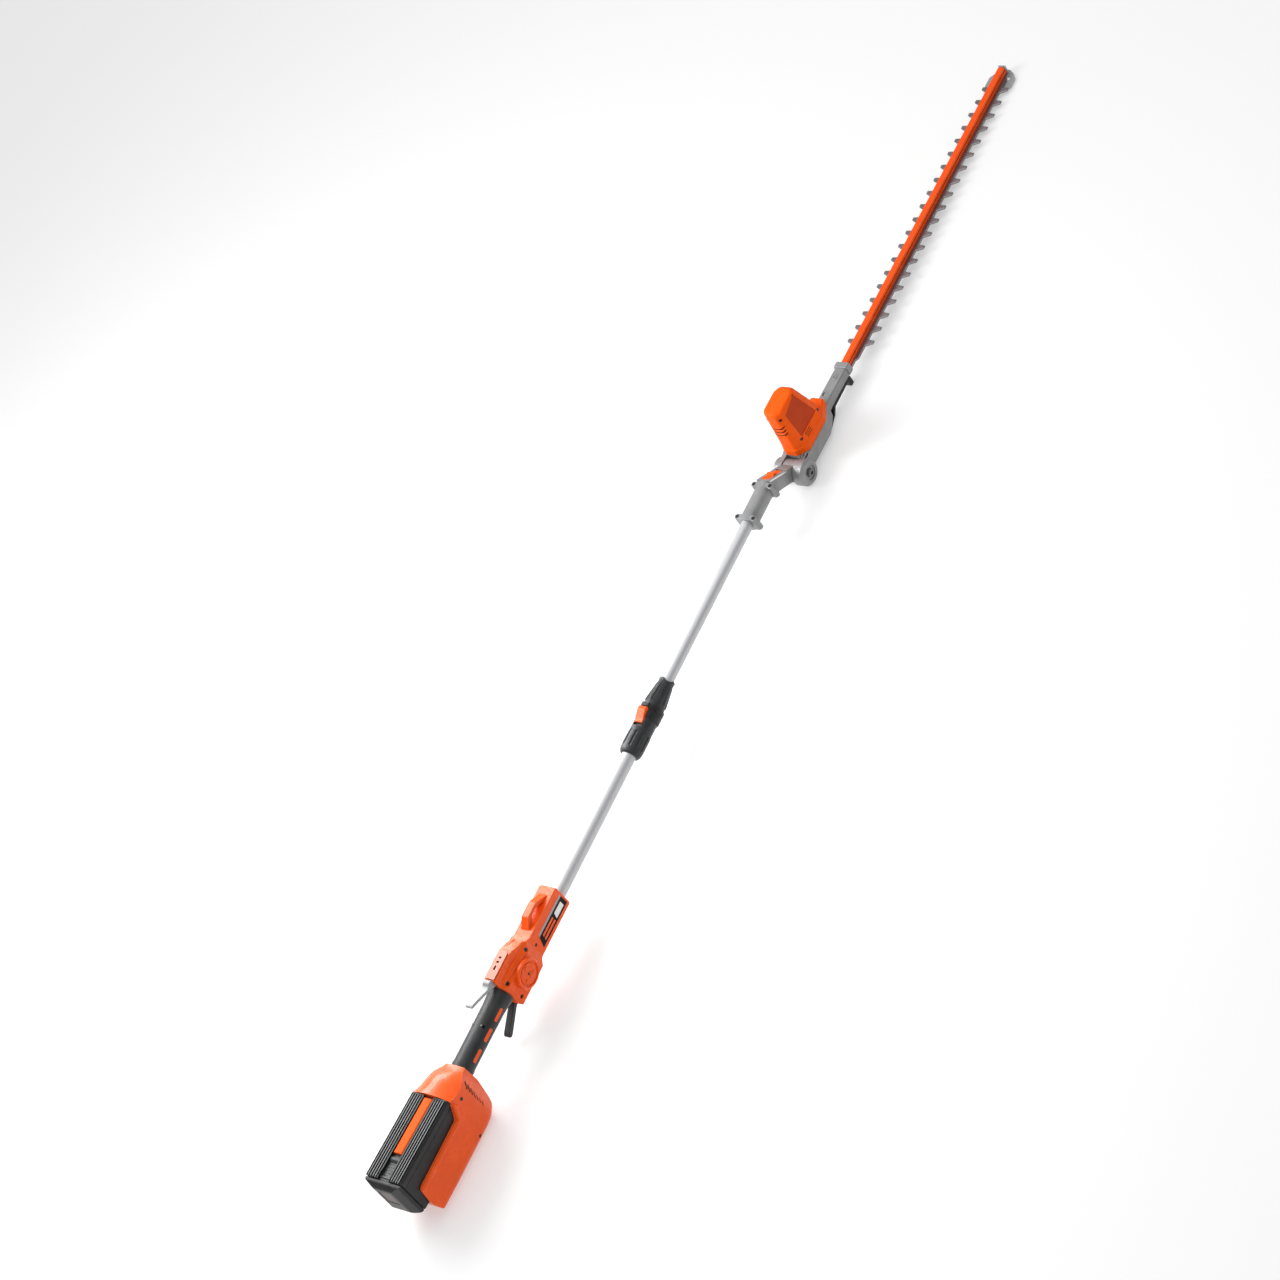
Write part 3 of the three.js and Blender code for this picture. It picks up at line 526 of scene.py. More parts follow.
def battery():
    half, chamfer = 38.5, 3.5
    plan = rounded(mirrored([(-150, half - chamfer), (chamfer - 150, half), (-0.5, half)]), 1.5, 2)
    case = common(
        prism("z", plan, -26, 38.2),
        prism("x", rounded(rectangle((-half, half), (-26, 60)), 4), -160, 10),
    )
    case = cut(case, block((-75, 10), (-12.5, 12.5), (-40, -13)))
    finish(case, "battery_body", BLACK, "battery", ["battery_case"], 0.8, BAY)

    roof = rounded([(-half, 38.4), (half, 38.4), (half, 48.6), (half - 3.4, 52), (3.4 - half, 52),
                    (-half, 48.6)], 1.2, 2)
    lid = common(prism("z", plan, 38.4, 60), prism("x", roof, -160, 10))
    lid = cut(
        lid,
        block((-135, 10), (-10.5, 10.5), (46, 60)),
        block((-153, -135), (-11.5, 11.5), (47.5, 60)),
        block((-146.5, -108), (-9.6, 9.6), (40.5, 60)),
    )
    grooves, pitch = 5, 4.9
    crest_highlights = []
    for i in range(grooves):
        for sign in (-1, 1):
            low, high = span(sign, 12.9 + pitch * i, 15.4 + pitch * i)
            lid = cut(lid, block((-155, -2), (low, high), (47.6, 60)))
            middle = sign * (16.6 + pitch * i)
            if i < grooves - 1:
                # painted highlight: a light strip on top of each rib
                crest_highlights.append(block((-148, -4), (middle - 0.7, middle + 0.7), (51, 52.3)))
    finish(lid, "battery_ribbed_lid", BLACK, "battery", ["battery_lid"], 0.35, BAY)
    finish(merged(crest_highlights), "battery_rib_crest_highlights", CREST_HIGHLIGHT, "battery", bevel=0.2,
           space=BAY)

    cap_plan = rounded(mirrored([(-164, 19), (-156, 35), (-150.3, 37)]), 2.5, 3)
    cap = common(
        prism("z", cap_plan, -25, 49),
        prism("y", rounded([(-164, -20), (-164, 41), (-157, 49), (-150, 49), (-150, -25),
                            (-158, -25)], 3, 3), -50, 50),
    )
    cap = cut(cap, block((-170, -162.6), (-13, 13), (2, 33)))
    finish(cap, "battery_rear_cap", BLACK, "battery", ["battery_end_cap"], 0.8, BAY)
    window = prism("x", rounded(rectangle((-12.4, 12.4), (2.6, 32.4)), 3), -163.4, -162.5)
    finish(window, "battery_gauge_window", GAUGE, "battery", bevel=0.3,
           space=BAY)

    strip = rounded([(-9, 46.3), (9, 46.3), (9, 50), (7, 51.9), (-7, 51.9), (-9, 50)], 1, 2)
    bar = cut(prism("x", strip, -103, -4), block((-3, 5), (-20, 20), (40, 60)))
    finish(bar, "battery_stripe", HEAD_ORANGE, "battery", ["battery_strip"], 0.9,
           BAY)

    thumb = prism("y", rounded([(-146, 44.4), (-109, 44.4), (-109, 49.4), (-114, 49.4),
                                (-119, 46.4), (-140, 46.4), (-146, 49.6)], 1.2, 3), -9, 9)
    for x in (-136, -131, -126, -121):
        thumb = add(thumb, block((x, x + 1.6), (-7, 7), (45.8, 47.2)))
    finish(thumb, "battery_thumb_latch", CHARCOAL, "latch", ["battery_latch"],
           0.4, BAY)


# ---- grip and control housing ---------------------------------------------------------
def grip():
    profile = [
        (-779.7, 14), (-779.7, 18.6), (-774, 19.2), (-769, 18.4), (-700, 18.3), (-668, 18.7),
        (-655, 19.6), (-646, 20.8), (-640.3, 21), (-640.3, 14), (-779.7, 14),
    ]
    body = lathe("x", profile, GRIP_AXIS, 72)
    places = both_sides([(-706, 12, 26.5), (-771, 10, -2)])
    body = cut(body, *wells(places, 3.2, 5))
    screws("grip_screws", places, "handle", inset=2)
    halves(body, "grip_shell", CHARCOAL, "handle", "grip", bevel=0.6)
    half_dash = 12
    for side, sign in SIDES.items():
        dashes = []
        for x in (-751, -713.5, -677):
            outline = rounded(rectangle((x - half_dash, x + half_dash), (12, 18)), 2.9)
            mask = prism("y", outline, *span(sign, 5, 30))
            dashes.append(common(rod("x", 19, x - 20, x + 20, GRIP_AXIS, 96), mask))
        finish(merged(dashes), f"grip_dashes_{side}", ORANGE, "handle",
               bevel=0.3)


def control_housing():
    side = [
        (-640, -15), (-636, -24), (-627, -30), (-576, -30), (-557, -17), (-455, -17),
        (-452, -13), (-452, 27), (-456, 31), (-546, 31), (-560, 38), (-583, 50.5),
        (-637, 50.5), (-640, 47),
    ]
    plan = rounded(mirrored([(-640, 19), (-634, 23), (-572, 23), (-552, 16), (-452, 16)]), 2, 2)
    section = [
        (-23, -20), (-15, -30), (15, -30), (23, -20), (23, 27), (14, 37), (11.5, 52),
        (-11.5, 52), (-14, 37), (-23, 27),
    ]
    shell = common(prism("y", side, -40, 40), prism("z", plan, -60, 80),
                   prism("x", section, -660, -440))
    for sign in (-1, 1):
        shell = add(shell, *shoulder_ridges(sign))
    for sign in (-1, 1):
        groove = [(-634, sign * 22.8, 31.5), (-600, sign * 22.8, 29.4), (-566, sign * 21.4, 25.6)]
        shell = cut(shell, sweep(groove, 1.7))
    shell = cut(
        shell,
        rod("x", 12.8, -568, -440, segments=48),
        block((-660, -618), (-7.9, 7.9), (33, 48.8)),
        block((-660, -618), (-7.3, 7.3), (-40, -11)),
        rod("x", 9, -645, -630, GRIP_AXIS),
    )
    places = both_sides([(-566, 21.5, 29), (-629, 21.5, 31), (-629, 23, -9)])
    shell = cut(shell, *wells(places, 4.1, 5))
    screws("control_housing_screws", places, "handle", radius=3.6)
    neck = both_sides([(-546.5, 16, 9)])
    shell = cut(shell, *wells(neck, 3, 3))
    screws("control_neck_screws", neck, "handle", radius=2.6, inset=1)
    halves(shell, "control_shell", ORANGE, "handle", "control_housing", bevel=1.1)
    control_discs()
    control_trim()


def shoulder_ridges(sign):
    """The long facet under the top box and the raised web that runs down to the neck."""
    def at(x, y, z):
        return (x, sign * y, z)
    long_facet = skin([
        [at(-632, 10, 30), at(-632, 18.6, 34.6), at(-632, 15.5, 39), at(-632, 10, 39)],
        [at(-600, 10, 28), at(-600, 21.2, 32.4), at(-600, 16.5, 38.2), at(-600, 10, 38)],
        [at(-566, 8, 26), at(-566, 20.2, 29.5), at(-566, 14.5, 36.8), at(-566, 8, 36)],
    ])
    web = skin([
        [at(-588, 6, 40), at(-588, 12.2, 40), at(-588, 11.8, 51.6), at(-588, 6, 51.6)],
        [at(-556, 6, 28), at(-556, 15.2, 30), at(-556, 12.4, 37.6), at(-556, 6, 37.6)],
    ])
    return [long_facet, web]


def control_discs():
    profile = [(23.3, 0), (23.3, 25), (28.8, 25), (30.2, 23.6), (30.2, 21.4), (27.6, 20.8),
               (27.6, 18.4), (29.4, 17.4), (30.4, 6.4), (29.2, 5.8), (29.2, 0)]
    for side, sign in SIDES.items():
        disc = lathe("y", [(sign * along, radius) for along, radius in profile], DISC_CENTRE, 80)
        disc = cut(disc, rod("y", 2.6, *span(sign, 28, 34), DISC_CENTRE))
        for turn in (40, 160, 280):
            vane = block((7.5, 15), span(sign, 28.6, 31.6), (-2.1, 2.1))
            disc = add(disc, moved(vane, Matrix.Translation(DISC_CENTRE) @ turned("Y", turn)))
        finish(disc, f"control_disc_{side}", ORANGE, "handle", [f"side_disc_{side}"],
               0.4)
    places = both_sides([(DISC_CENTRE[0], 30, DISC_CENTRE[2])])
    screws("control_disc_screws", places, "handle", radius=2.3, inset=0.8)


def control_trim():
    outline = rounded([(-636.5, -9.4), (-589, -9.4), (-585, -6), (-585, 6), (-589, 9.4),
                       (-636.5, 9.4)], 1.5, 3)
    panel = prism("z", outline, 50.8, 53.6)
    lap = 0.5
    windows = []
    for x, half_length, half_width, corner in ((-616.75, 4.25, 1.9, 1.7), (-606, 1.7, 3, 1.6),
                                               (-598, 1.7, 3, 1.6)):
        hole = rectangle((x - half_length, x + half_length), (-half_width, half_width))
        panel = cut(panel, prism("z", rounded(hole, corner), 52.2, 56))
        windows.append(block((x - half_length - lap, x + half_length + lap),
                             (-half_width - lap, half_width + lap), (51.4, 52.3)))
    # painted sheen: the panel's paler colour stands in for the light on its top
    finish(panel, "control_panel", PANEL_SHEEN, "handle", ["indicator_panel"], 0.5)
    finish(merged(windows), "control_panel_windows", BLACK_AND_SHADE, "handle", bevel=0)

    arch = rounded([(-535, 31.2), (-519, 46), (-492, 46), (-468, 31.2), (-479, 31.2),
                    (-496, 39.6), (-511, 39.6), (-522, 31.2)], 1.4, 3)
    loop = common(prism("y", arch, -8, 8), prism("x", [(-8, 30), (8, 30), (6.4, 47), (-6.4, 47)],
                                                 -540, -460))
    finish(loop, "harness_arch", ORANGE, "handle", ["sling_loop"], 1.2)
    label_plates()


NECK_HALF = 16


def label_plates():
    """Blank plates on the neck: a grey strip over a black field with plain slanted bars."""
    thin, thick = 0.35, 0.55
    # name, rear and front end, lower and upper edge, lean of the rear end, height, look, slot
    plates = (
        ("neck_plate", -540, -456.5, -10, 10, 7, thin, BLACK_AND_SHADE, "pack_black"),
        ("neck_strip", -533, -456.5, 10.4, 14.6, 2, thin, LIGHT_GREY, "lever_grey"),
        ("neck_bar_1", -527.5, -493, 1.6, 6.2, 1.5, thick, ORANGE, "shell_orange"),
        ("neck_bar_2", -529, -493, -6, -1.4, 1.5, thick, ORANGE, "shell_orange"),
        ("neck_block", -489, -464, -5.6, 5.8, 3, thick, WHITE_MARK, "lever_grey"),
    )
    for side, sign in SIDES.items():
        for name, rear, front, low, high, lean, proud, look, slot in plates:
            outline = [(rear, low), (front, low), (front, high), (rear + lean, high)]
            near, far = span(sign, NECK_HALF - 0.6, NECK_HALF + proud)
            finish(prism("y", outline, near, far), f"{name}_{side}", look, "handle",
                   bevel=0.15)


def trigger_and_lever():
    outline = rounded([(-624, -18), (-632, -16), (-643, -21), (-683, -42), (-687.5, -46.5),
                       (-684, -51.5), (-679, -50.5), (-640, -28.5), (-630, -26), (-624, -24)], 2, 3)
    bar = prism("y", outline, -6, 6)
    finish(bar, "trigger_bar", CHARCOAL, "trigger", ["trigger"], 1.2)
    outline = rounded([(-622, 37), (-633, 36), (-641, 38.6), (-650, 44.6), (-690, 60.4),
                       (-696, 63), (-694.6, 66.4), (-690, 66.6), (-655, 52.4), (-650, 52.6),
                       (-647, 56), (-641.5, 56.4), (-638.4, 53), (-637, 46.5), (-622, 45)], 2.2, 4)
    lever = prism("y", outline, -7, 7)
    finish(lever, "lock_off_paddle", LIGHT_GREY, "lock_off", ["lock_off_lever"], 1.0)


# ---- pole and its lock ----------------------------------------------------------------
def pole():
    for name, cad, radius, bore, low, high, body in (
        ("lower_tube", "outer_tube", 12.5, 11, TUBE_REAR, -66, "handle"),
        ("upper_tube", "inner_tube", 10.5, 9.3, -300, 346, "upper_pole"),
    ):
        break_edge = 0.4
        profile = [(low, bore), (low, radius - break_edge), (low + break_edge, radius),
                   (high - break_edge, radius), (high, radius - break_edge), (high, bore),
                   (low, bore)]
        finish(lathe("x", profile, segments=96), name, TUBE, body, [cad], 0)


def around(count, index):
    return Matrix.Rotation(2 * math.pi * index / count, 4, "X")


def ribs(count, low, high, low_radius, high_radius, height):
    """Long raised ribs on a cone; each one fades into it at both ends."""
    half_width, root, fade = 1.5, 1.5, 3
    outline = [
        (low, low_radius - root), (high, high_radius - root), (high, high_radius - 0.2),
        (high - fade, high_radius + height), (low + fade, low_radius + height),
        (low, low_radius - 0.2),
    ]
    return [moved(prism("y", outline, -half_width, half_width), around(count, i))
            for i in range(count)]


LOCK_BORE = 12.8
LEVER_HALF = 8


def pole_lock():
    bell = lathe("x", [
        (-188, LOCK_BORE), (-188, 14.6), (-186.5, 16.4), (-183, 18.4), (-178, 19.3),
        (-170, 19.6), (-150, 19.4), (-142, 18.8), (-121.3, 18.6), (-121.3, LOCK_BORE),
        (-188, LOCK_BORE),
    ], segments=72)
    flutes = 10
    for i in range(flutes):
        flute = sweep([(-177, 0, 20.7), (-148, 0, 20.5)], 2.9, 12)
        bell = cut(bell, moved(flute, around(flutes, i + 0.5)))
    pocket = (-LEVER_HALF - 0.8, LEVER_HALF + 0.8)
    bell = cut(bell, block((-139, -105), pocket, (12.9, 40)))
    finish(bell, "lock_bell", CHARCOAL, "handle", ["lock_grip"], 0.5)
    collar = lathe("x", [
        (-121, LOCK_BORE), (-121, 19.4), (-119.8, 20.8), (-108, 20.8), (-107, 19.6),
        (-105.4, 19.6), (-104.4, 20.8), (-98.2, 20.8), (-97, 19.4), (-97, LOCK_BORE),
        (-121, LOCK_BORE),
    ], segments=72)
    collar = cut(collar, block((-122, -104.5), pocket, (13.4, 40)))
    bump = prism("x", rounded([(-9, 10), (9, 10), (7.6, 23.6), (-7.6, 23.6)], 2), -104, -97.6)
    collar = add(collar, cut(bump, rod("x", LOCK_BORE, -130, -80)))
    finish(collar, "lock_collar", BLACK, "handle", ["lock_ring"], 0.5)
    nose = lathe("x", [
        (-96.7, LOCK_BORE), (-96.7, 17.6), (-95, 18.4), (-92, 18.2), (-52, 13.4), (-45, 13.4),
        (-42, 13.9), (-42, 10.8), (-65.7, 10.8), (-65.7, LOCK_BORE), (-96.7, LOCK_BORE),
    ], segments=72)
    nose = add(nose, *ribs(8, -90, -50, 18, 13.3, 1.0))
    notch = Matrix.Translation((-37, 0, 0)) @ around(8, 1)
    nose = cut(nose, moved(rod("z", 9.5, -30, 30, segments=40), notch))
    finish(nose, "lock_cone", CHARCOAL, "handle", ["lock_nose"], 0.4)
    wedge = rounded([(-134, 16.4), (-133, 18.8), (-128, 20), (-114, 26.4), (-107, 26),
                     (-105.6, 21), (-107, 18.6), (-112, 14.6), (-130, 14.2), (-132.6, 15)], 1.2, 3)
    front = rounded([(-LEVER_HALF, 10), (LEVER_HALF, 10), (7.2, 27), (-7.2, 27)], 1.5)
    lever = common(prism("y", wedge, -LEVER_HALF, LEVER_HALF), prism("x", front, -140, -100))
    finish(lever, "lock_wedge", ORANGE, "pole_lever", ["lock_lever"], 0.8)


# ---- clamp socket and knuckle ---------------------------------------------------------
FLANGES = (277.5, 344)
EAR_OUT = 17
ARM_HALF = 13
ARM_SLOPE = 33
ARM_TOP = (350, 0, 16.3)


def socket_solid():
    """The clamp as one part: a round body with two flanges and four screw ears."""
    body = rod("x", 16.3, 272, 350, segments=64)
    flange = rounded(rectangle((-EAR_OUT, EAR_OUT), (-14.5, 14.5)), 7, 5)
    for x in FLANGES:
        body = add(body, prism("x", flange, x - 4.8, x + 4.8))
        for y in (-EAR_OUT, EAR_OUT):
            ear = [(-14.2, 0), (-14.2, 4.4), (-13, 5.6), (12.4, 5.6), (13.6, 4.4), (13.6, 0)]
            body = add(body, lathe("z", ear, (x, y, 0), 28))
            body = cut(body, rod("z", 3.9, 11.2, 20, (x, y, 0)))
    return cut(body, rod("x", 10.8, 200, 346.3, segments=64))


def along_arm(solid):
    """Moves a solid drawn on the level onto the arm's sloping top."""
    return moved(solid, Matrix.Translation(ARM_TOP) @ turned("Y", ARM_SLOPE))


def knuckle():
    body = socket_solid()
    upper = common(copy(body), block((200, 350), (-40, 40), (0.15, 40)))
    finish(upper, "socket_cap", CASTING, "upper_pole", ["clamp_cap"], 0.9)
    side = rounded([(349.6, 16.3), (352, 16.3), (404, -17.5), (420, -30), (402, -52), (388, -38),
                    (358, -20), (349.6, -17)], 3, 3)
    arm = prism("y", side, -ARM_HALF, ARM_HALF)
    arm = add(arm, along_arm(block((-2, 55), (-ARM_HALF, ARM_HALF), (-3.4, 0.6))))
    barrel = lathe("y", [(-ARM_HALF, 0), (-ARM_HALF, 19), (1 - ARM_HALF, 20), (ARM_HALF - 1, 20),
                         (ARM_HALF, 19), (ARM_HALF, 0)], PIVOT_CENTRE, 64)
    lower = common(body, block((200, 350.3), (-40, 40), (-40, -0.15)))
    lower = add(lower, cut(arm, block((200, 349.8), (-40, 40), (-0.2, 60))), barrel)
    lower = cut(lower, along_arm(block((5, 51), (-8, 8), (-9, 12))))
    lower = cut(lower, rod("y", 5.1, -60, 60, PIVOT_CENTRE))
    finish(lower, "knuckle_casting", CASTING, "upper_pole", ["knuckle_arm"], 0.9)
    for side, sign in SIDES.items():
        # painted highlight: a light strip along the arm's top edge where its chamfer catches the
        # light
        edge = along_arm(prism("x", [(sign * 13.1, -2.4), (sign * 13.1, 0), (sign * 11.6, 0.9),
                                     (sign * 10.4, 0.9), (sign * 10.4, 0.2)], 3, 49))
        finish(edge, f"knuckle_highlight_{side}", HIGHLIGHT_STRIP, "upper_pole", bevel=0.1)
    slider = along_arm(block((6.5, 45), (-7.5, 7.5), (-8.2, 1.2)))
    ridge = prism("y", rounded([(18, -1), (30, -1), (26.8, 5.4), (23.2, 5.4)], 1, 2), -7.2, 7.2)
    slider = add(slider, along_arm(ridge))
    for s in (10.5, 35, 40):
        slider = cut(slider, along_arm(block((s, s + 1.8), (-9, 9), (-0.4, 3))))
    finish(slider, "tilt_slider", HEAD_ORANGE, "tilt_button", ["tilt_release"],
           0.5)
    corners = [(x, y, 0) for x in FLANGES for y in (-EAR_OUT, EAR_OUT)]
    for number, place in enumerate(corners, 1):
        bolt = lathe("z", [(-12, 0), (-12, 2), (9.8, 2), (9.8, 3.7), (12.4, 3.7), (12.8, 3.2),
                           (12.8, 0)], place, 28)
        bolt = cut(bolt, rod("z", 1.7, 10.8, 16, place, 6))
        finish(bolt, f"clamp_bolt_{number}", DARK_STEEL, "upper_pole",
               [f"clamp_screw_{number}"], 0.25)


# ---- cutting head ---------------------------------------------------------------------
NOSE_FRONT = 618.7


def gear_case():
    centre = PIVOT_CENTRE
    waist = [(430, 22), (438, 27), (506, 27), (541, 12.5)]
    body = loft([
        (mirrored([(432, 19), (440, 24.6), (505, 24.6), (540, 10.6)]), -54),
        (mirrored(waist), -41), (mirrored(waist), -25.4),
        (mirrored([(430, 19), (440, 24), (503, 24), (539, 10)]), -22),
    ])
    nose = skin([
        [(530, y, z) for y, z in (
            (-10.4, -42), (10.4, -42), (12.5, -34), (12.5, -25.5), (9.5, -22), (-9.5, -22),
            (-12.5, -25.5), (-12.5, -34))],
        [(NOSE_FRONT, y, z) for y, z in (
            (-10.2, -42), (10.2, -42), (12, -35), (12, -26), (9.4, -23.4), (-9.4, -23.4),
            (-12, -26), (-12, -35))],
    ])
    near = lathe("y", [(-34.5, 0), (-34.5, 19.6), (-30, 24), (-14, 24), (-14, 0)], centre, 72)
    near = cut(near, lathe("y", [(-40, 0), (-40, 13.6), (-32.6, 13.6), (-32.6, 0)], centre, 56))
    far = lathe("y", [(14, 0), (14, 21), (28.6, 21), (31, 18.6), (31, 0)], centre, 72)
    cheeks = block((414, 434), (-22.6, 22.6), (-53.6, -22.6))
    shoulder = skin([
        [(416, -28, -50), (416, -14, -50), (416, -14, -21.4), (416, -23.5, -21.4), (416, -28, -25)],
        [(450, -27, -50), (450, -14, -50), (450, -14, -24.2), (450, -22, -24.2), (450, -27, -27.6)],
    ])
    body = add(body, nose, near, far, cheeks, shoulder)
    body = cut(
        body,
        rod("y", 21.2, -14, 14, centre, 64),
        block((370, 414), (-14, 14), (-90, 10)),
        block((414, 431.2), (-14, 14), (-33, 10)),
        block((447, 504), (-21, 21), (-60, -26)),
        block((503, 640), (-9, 9), (-60, -27)),
        rod("y", 5.2, -60, 60, centre),
        rod("z", 12, -40, -10, (470, 0, 0)),
        *shoulder_cuts((-9, 12)),
    )
    # painted shade: dark blocks sunk inside the three shoulder slots
    finish(merged(shoulder_cuts((-9, -3))), "gear_housing_slot_shade", BLACK_AND_SHADE, "head",
           bevel=0, space=HEAD)
    oval = prism("z", rounded(rectangle((557, 566), (1.4, 6.4)), 2.4), -24.5, -10)
    body = cut(body, oval)
    body = add(body, lathe("z", [(-30, 0), (-30, 4.6), (-22.4, 4.6), (-21.6, 3.9), (-21.6, 2.4),
                                 (-22.8, 2.4), (-22.8, 0)], (598, 0, 0), 32))
    finish(body, "gear_housing", CASTING, "head", ["gear_case"], 0.9, HEAD)

    cover_side = [(440, -54.3), (541, -54.3), (553, -42.3), (619, -42.3), (619, -59.6),
                  (610, -59.6), (608, -46.5), (556, -46.5), (543, -57), (440, -57)]
    cover_plan = mirrored([(440, 21), (504, 22), (541, 12), (640, 10.6)])
    cover = common(prism("y", rounded(cover_side, 1.2, 2), -30, 30),
                   prism("z", cover_plan, -80, 0))
    finish(cover, "case_bottom_cover", BLACK, "head", ["gear_case_cover"], 0.6, HEAD)

    outline = rounded(rectangle((-14, 14), (-41.5, -21)), 4.5)
    collar = cut(prism("x", outline, 619, 631), block((600, 640), (-9.8, 9.8), (-50, -36.4)))
    finish(collar, "nose_collar", CASTING, "head", ["front_collar"], 1.0, HEAD)

    bolt = lathe("y", [(-38, 0), (-38, 6.6), (-37, 7.6), (-32.9, 7.6), (-32.9, 5), (38, 5), (38, 0)],
                 centre, 40)
    bolt = cut(bolt, rod("y", 3.7, -45, -34.6, centre, 6))
    finish(bolt, "tilt_bolt", HUB_STEEL, "head", ["pivot_bolt"], 0.3, HEAD)
    nut = cut(rod("y", 8.5, 31.3, 37, centre, 6), rod("y", 5.3, 0, 50, centre))
    finish(nut, "tilt_nut", STEEL, "head", ["pivot_nut"], 0.4, HEAD)


def shoulder_cuts(depths):
    """Three slots side by side on the near shoulder of the gear case."""
    slot = rounded(rectangle((-6.5, 6.5), (-1.3, 1.3)), 1.2)
    made = []
    for i in range(3):
        place = Matrix.Translation((427 + 3.4 * i, -16.5 - 4.4 * i, -21.6 - 0.8 * i))
        made.append(moved(prism("z", slot, *depths), place))
    return made


MOTOR_FOOT = [(430, 12), (447, 29), (508, 29), (543, 12)]
MOTOR_DECK = [(432, 12), (447, 27), (508, 27), (526, 14)]
MOTOR_ROOF = [(438, 9), (447, 20), (492, 20), (502, 12)]
DECK_Z = -6
MOTOR_RISE = 83
MOTOR_LEAN = math.atan2(MOTOR_DECK[1][1] - MOTOR_ROOF[1][1], MOTOR_RISE)


def inset(outline, by):
    """Half an outline drawn inwards from its two ends and its side."""
    return [(x + (by if i < 2 else -by), y - by) for i, (x, y) in enumerate(outline)]


def motor_level(z, by):
    """The motor housing's outline at one height."""
    share = (z - DECK_Z) / MOTOR_RISE
    level = []
    for (x0, y0), (x1, y1) in zip(MOTOR_DECK, MOTOR_ROOF):
        level.append((x0 + (x1 - x0) * share, y0 + (y1 - y0) * share))
    return rounded(mirrored(inset(level, by)), 4.5, 4)


def side_pocket(sign, outline, low, high):
    """A plate drawn upright and leaned onto one side of the motor housing."""
    flat = prism("y", rounded(outline, 2.5, 3), *span(sign, low, high))
    hinge = Matrix.Translation((0, sign * 25.9, 7))
    return moved(flat, hinge @ Matrix.Rotation(sign * MOTOR_LEAN, 4, "X") @ hinge.inverted())


def motor_housing():
    foot = loft([(rounded(mirrored(MOTOR_FOOT), 2.5, 3), -21.7),
                 (rounded(mirrored(MOTOR_FOOT), 2.5, 3), -9.5),
                 (rounded(mirrored(inset(MOTOR_FOOT, 2)), 2.5, 3), -6.5)])
    levels = [(-10, 0), (70.5, 0), (73.6, 0.8), (75.6, 2.2), (76.6, 3.8), (77, 5.2)]
    tower = loft([(motor_level(z, by), z) for z, by in levels])
    shell = add(foot, tower)
    recess = [(449, 8), (506, 8), (489, 73), (450, 65)]
    face = [(449.8, 8.8), (505.2, 8.8), (488.4, 72.2), (450.8, 64.2)]
    gill_shades = []
    for side, sign in SIDES.items():
        shell = cut(shell, side_pocket(sign, recess, 23.8, 60))
        # painted shade: a plate in darker orange over each side face of the motor housing
        shaded_inlay = side_pocket(sign, face, 21, 24.6)
        finish(shaded_inlay, f"motor_shaded_inlay_{side}", SHADED_ORANGE, "head", bevel=0.5,
               space=HEAD)
        for x0, x1, z in ((457, 475, 3.4), (458, 476, -0.6), (459, 477, -4.6)):
            shell = cut(shell, block((x0, x1), span(sign, 24, 40), (z, z + 2)))
            # painted shade: a dark block inside each gill slot
            gill_shades.append(block((x0, x1), span(sign, 23, 25.4), (z, z + 2)))
    shell = cut(shell, *rear_vents(1.5))
    # painted shade: dark bars sunk inside the gills and the rear vents
    finish(merged(gill_shades + rear_vents(1.35, 3.2)), "motor_vent_painted_shade", PAINTED_SHADE, "head",
           bevel=0, space=HEAD)
    places = both_sides([(441.5, 15.4, 62), (487, 20.6, 70.5), (447.5, 26.4, 5), (511, 25.4, 3)])
    shell = cut(shell, *wells(places, 3.3, 4))
    screws("motor_housing_screws", places, "head", space=HEAD, radius=2.7, inset=2)
    shell = cut(shell, loft([(mirrored(inset(MOTOR_DECK, 5)), -30),
                             (mirrored(inset(MOTOR_ROOF, 5)), 60)]))
    halves(shell, "motor_shell", HEAD_ORANGE, "head", "motor_housing", 1.0, HEAD)


def rear_vents(radius, sunk=0.0):
    """Three bowed slots across the rear face of the motor housing."""
    made = []
    for i in range(3):
        z = 42 - 7.6 * i
        share = (z - DECK_Z) / MOTOR_RISE
        steps, bow = 8, 5
        path = []
        for k in range(-steps, steps + 1):
            y = 1.9 * k
            x = 432 + 6 * share + sunk + max(0, abs(y) - (12 - 3 * share))
            path.append((x, y, z + bow * (k / steps) ** 2))
        made.append(sweep_across(path, radius))
    return made


def sweep_across(path, radius):
    """A square-edged bar along a path that runs mainly in y."""
    rings = []
    for x, y, z in path:
        rings.append([(x - 2 * radius, y, z - radius), (x + radius, y, z - radius),
                      (x + radius, y, z + radius), (x - 2 * radius, y, z + radius)])
    return skin(rings)


TEETH, FIRST_TOOTH, PITCH = 20, 690, 30.2
SPINE, REACH, HALF_TIP = 13, 27, 3.2
BOLTS = {"rear": 676, "middle": 960, "tip": 1280}


def edge_outline(grind):
    """One side of a blade; grind narrows the top of each tooth for its ground edges."""
    edge = [(477.5, 12), (510.5, 12), (513.5, 9), (649, 9), (655, SPINE)]
    for i in range(TEETH):
        x = FIRST_TOOTH + PITCH * i
        tip = REACH - grind * 0.5
        edge += [(x - 10 + grind, SPINE), (x - HALF_TIP + grind * 0.8, tip),
                 (x + HALF_TIP - grind * 0.7, tip), (x + 4.8 - grind, SPINE)]
    return edge + [(1290, SPINE), (1294, 9)]


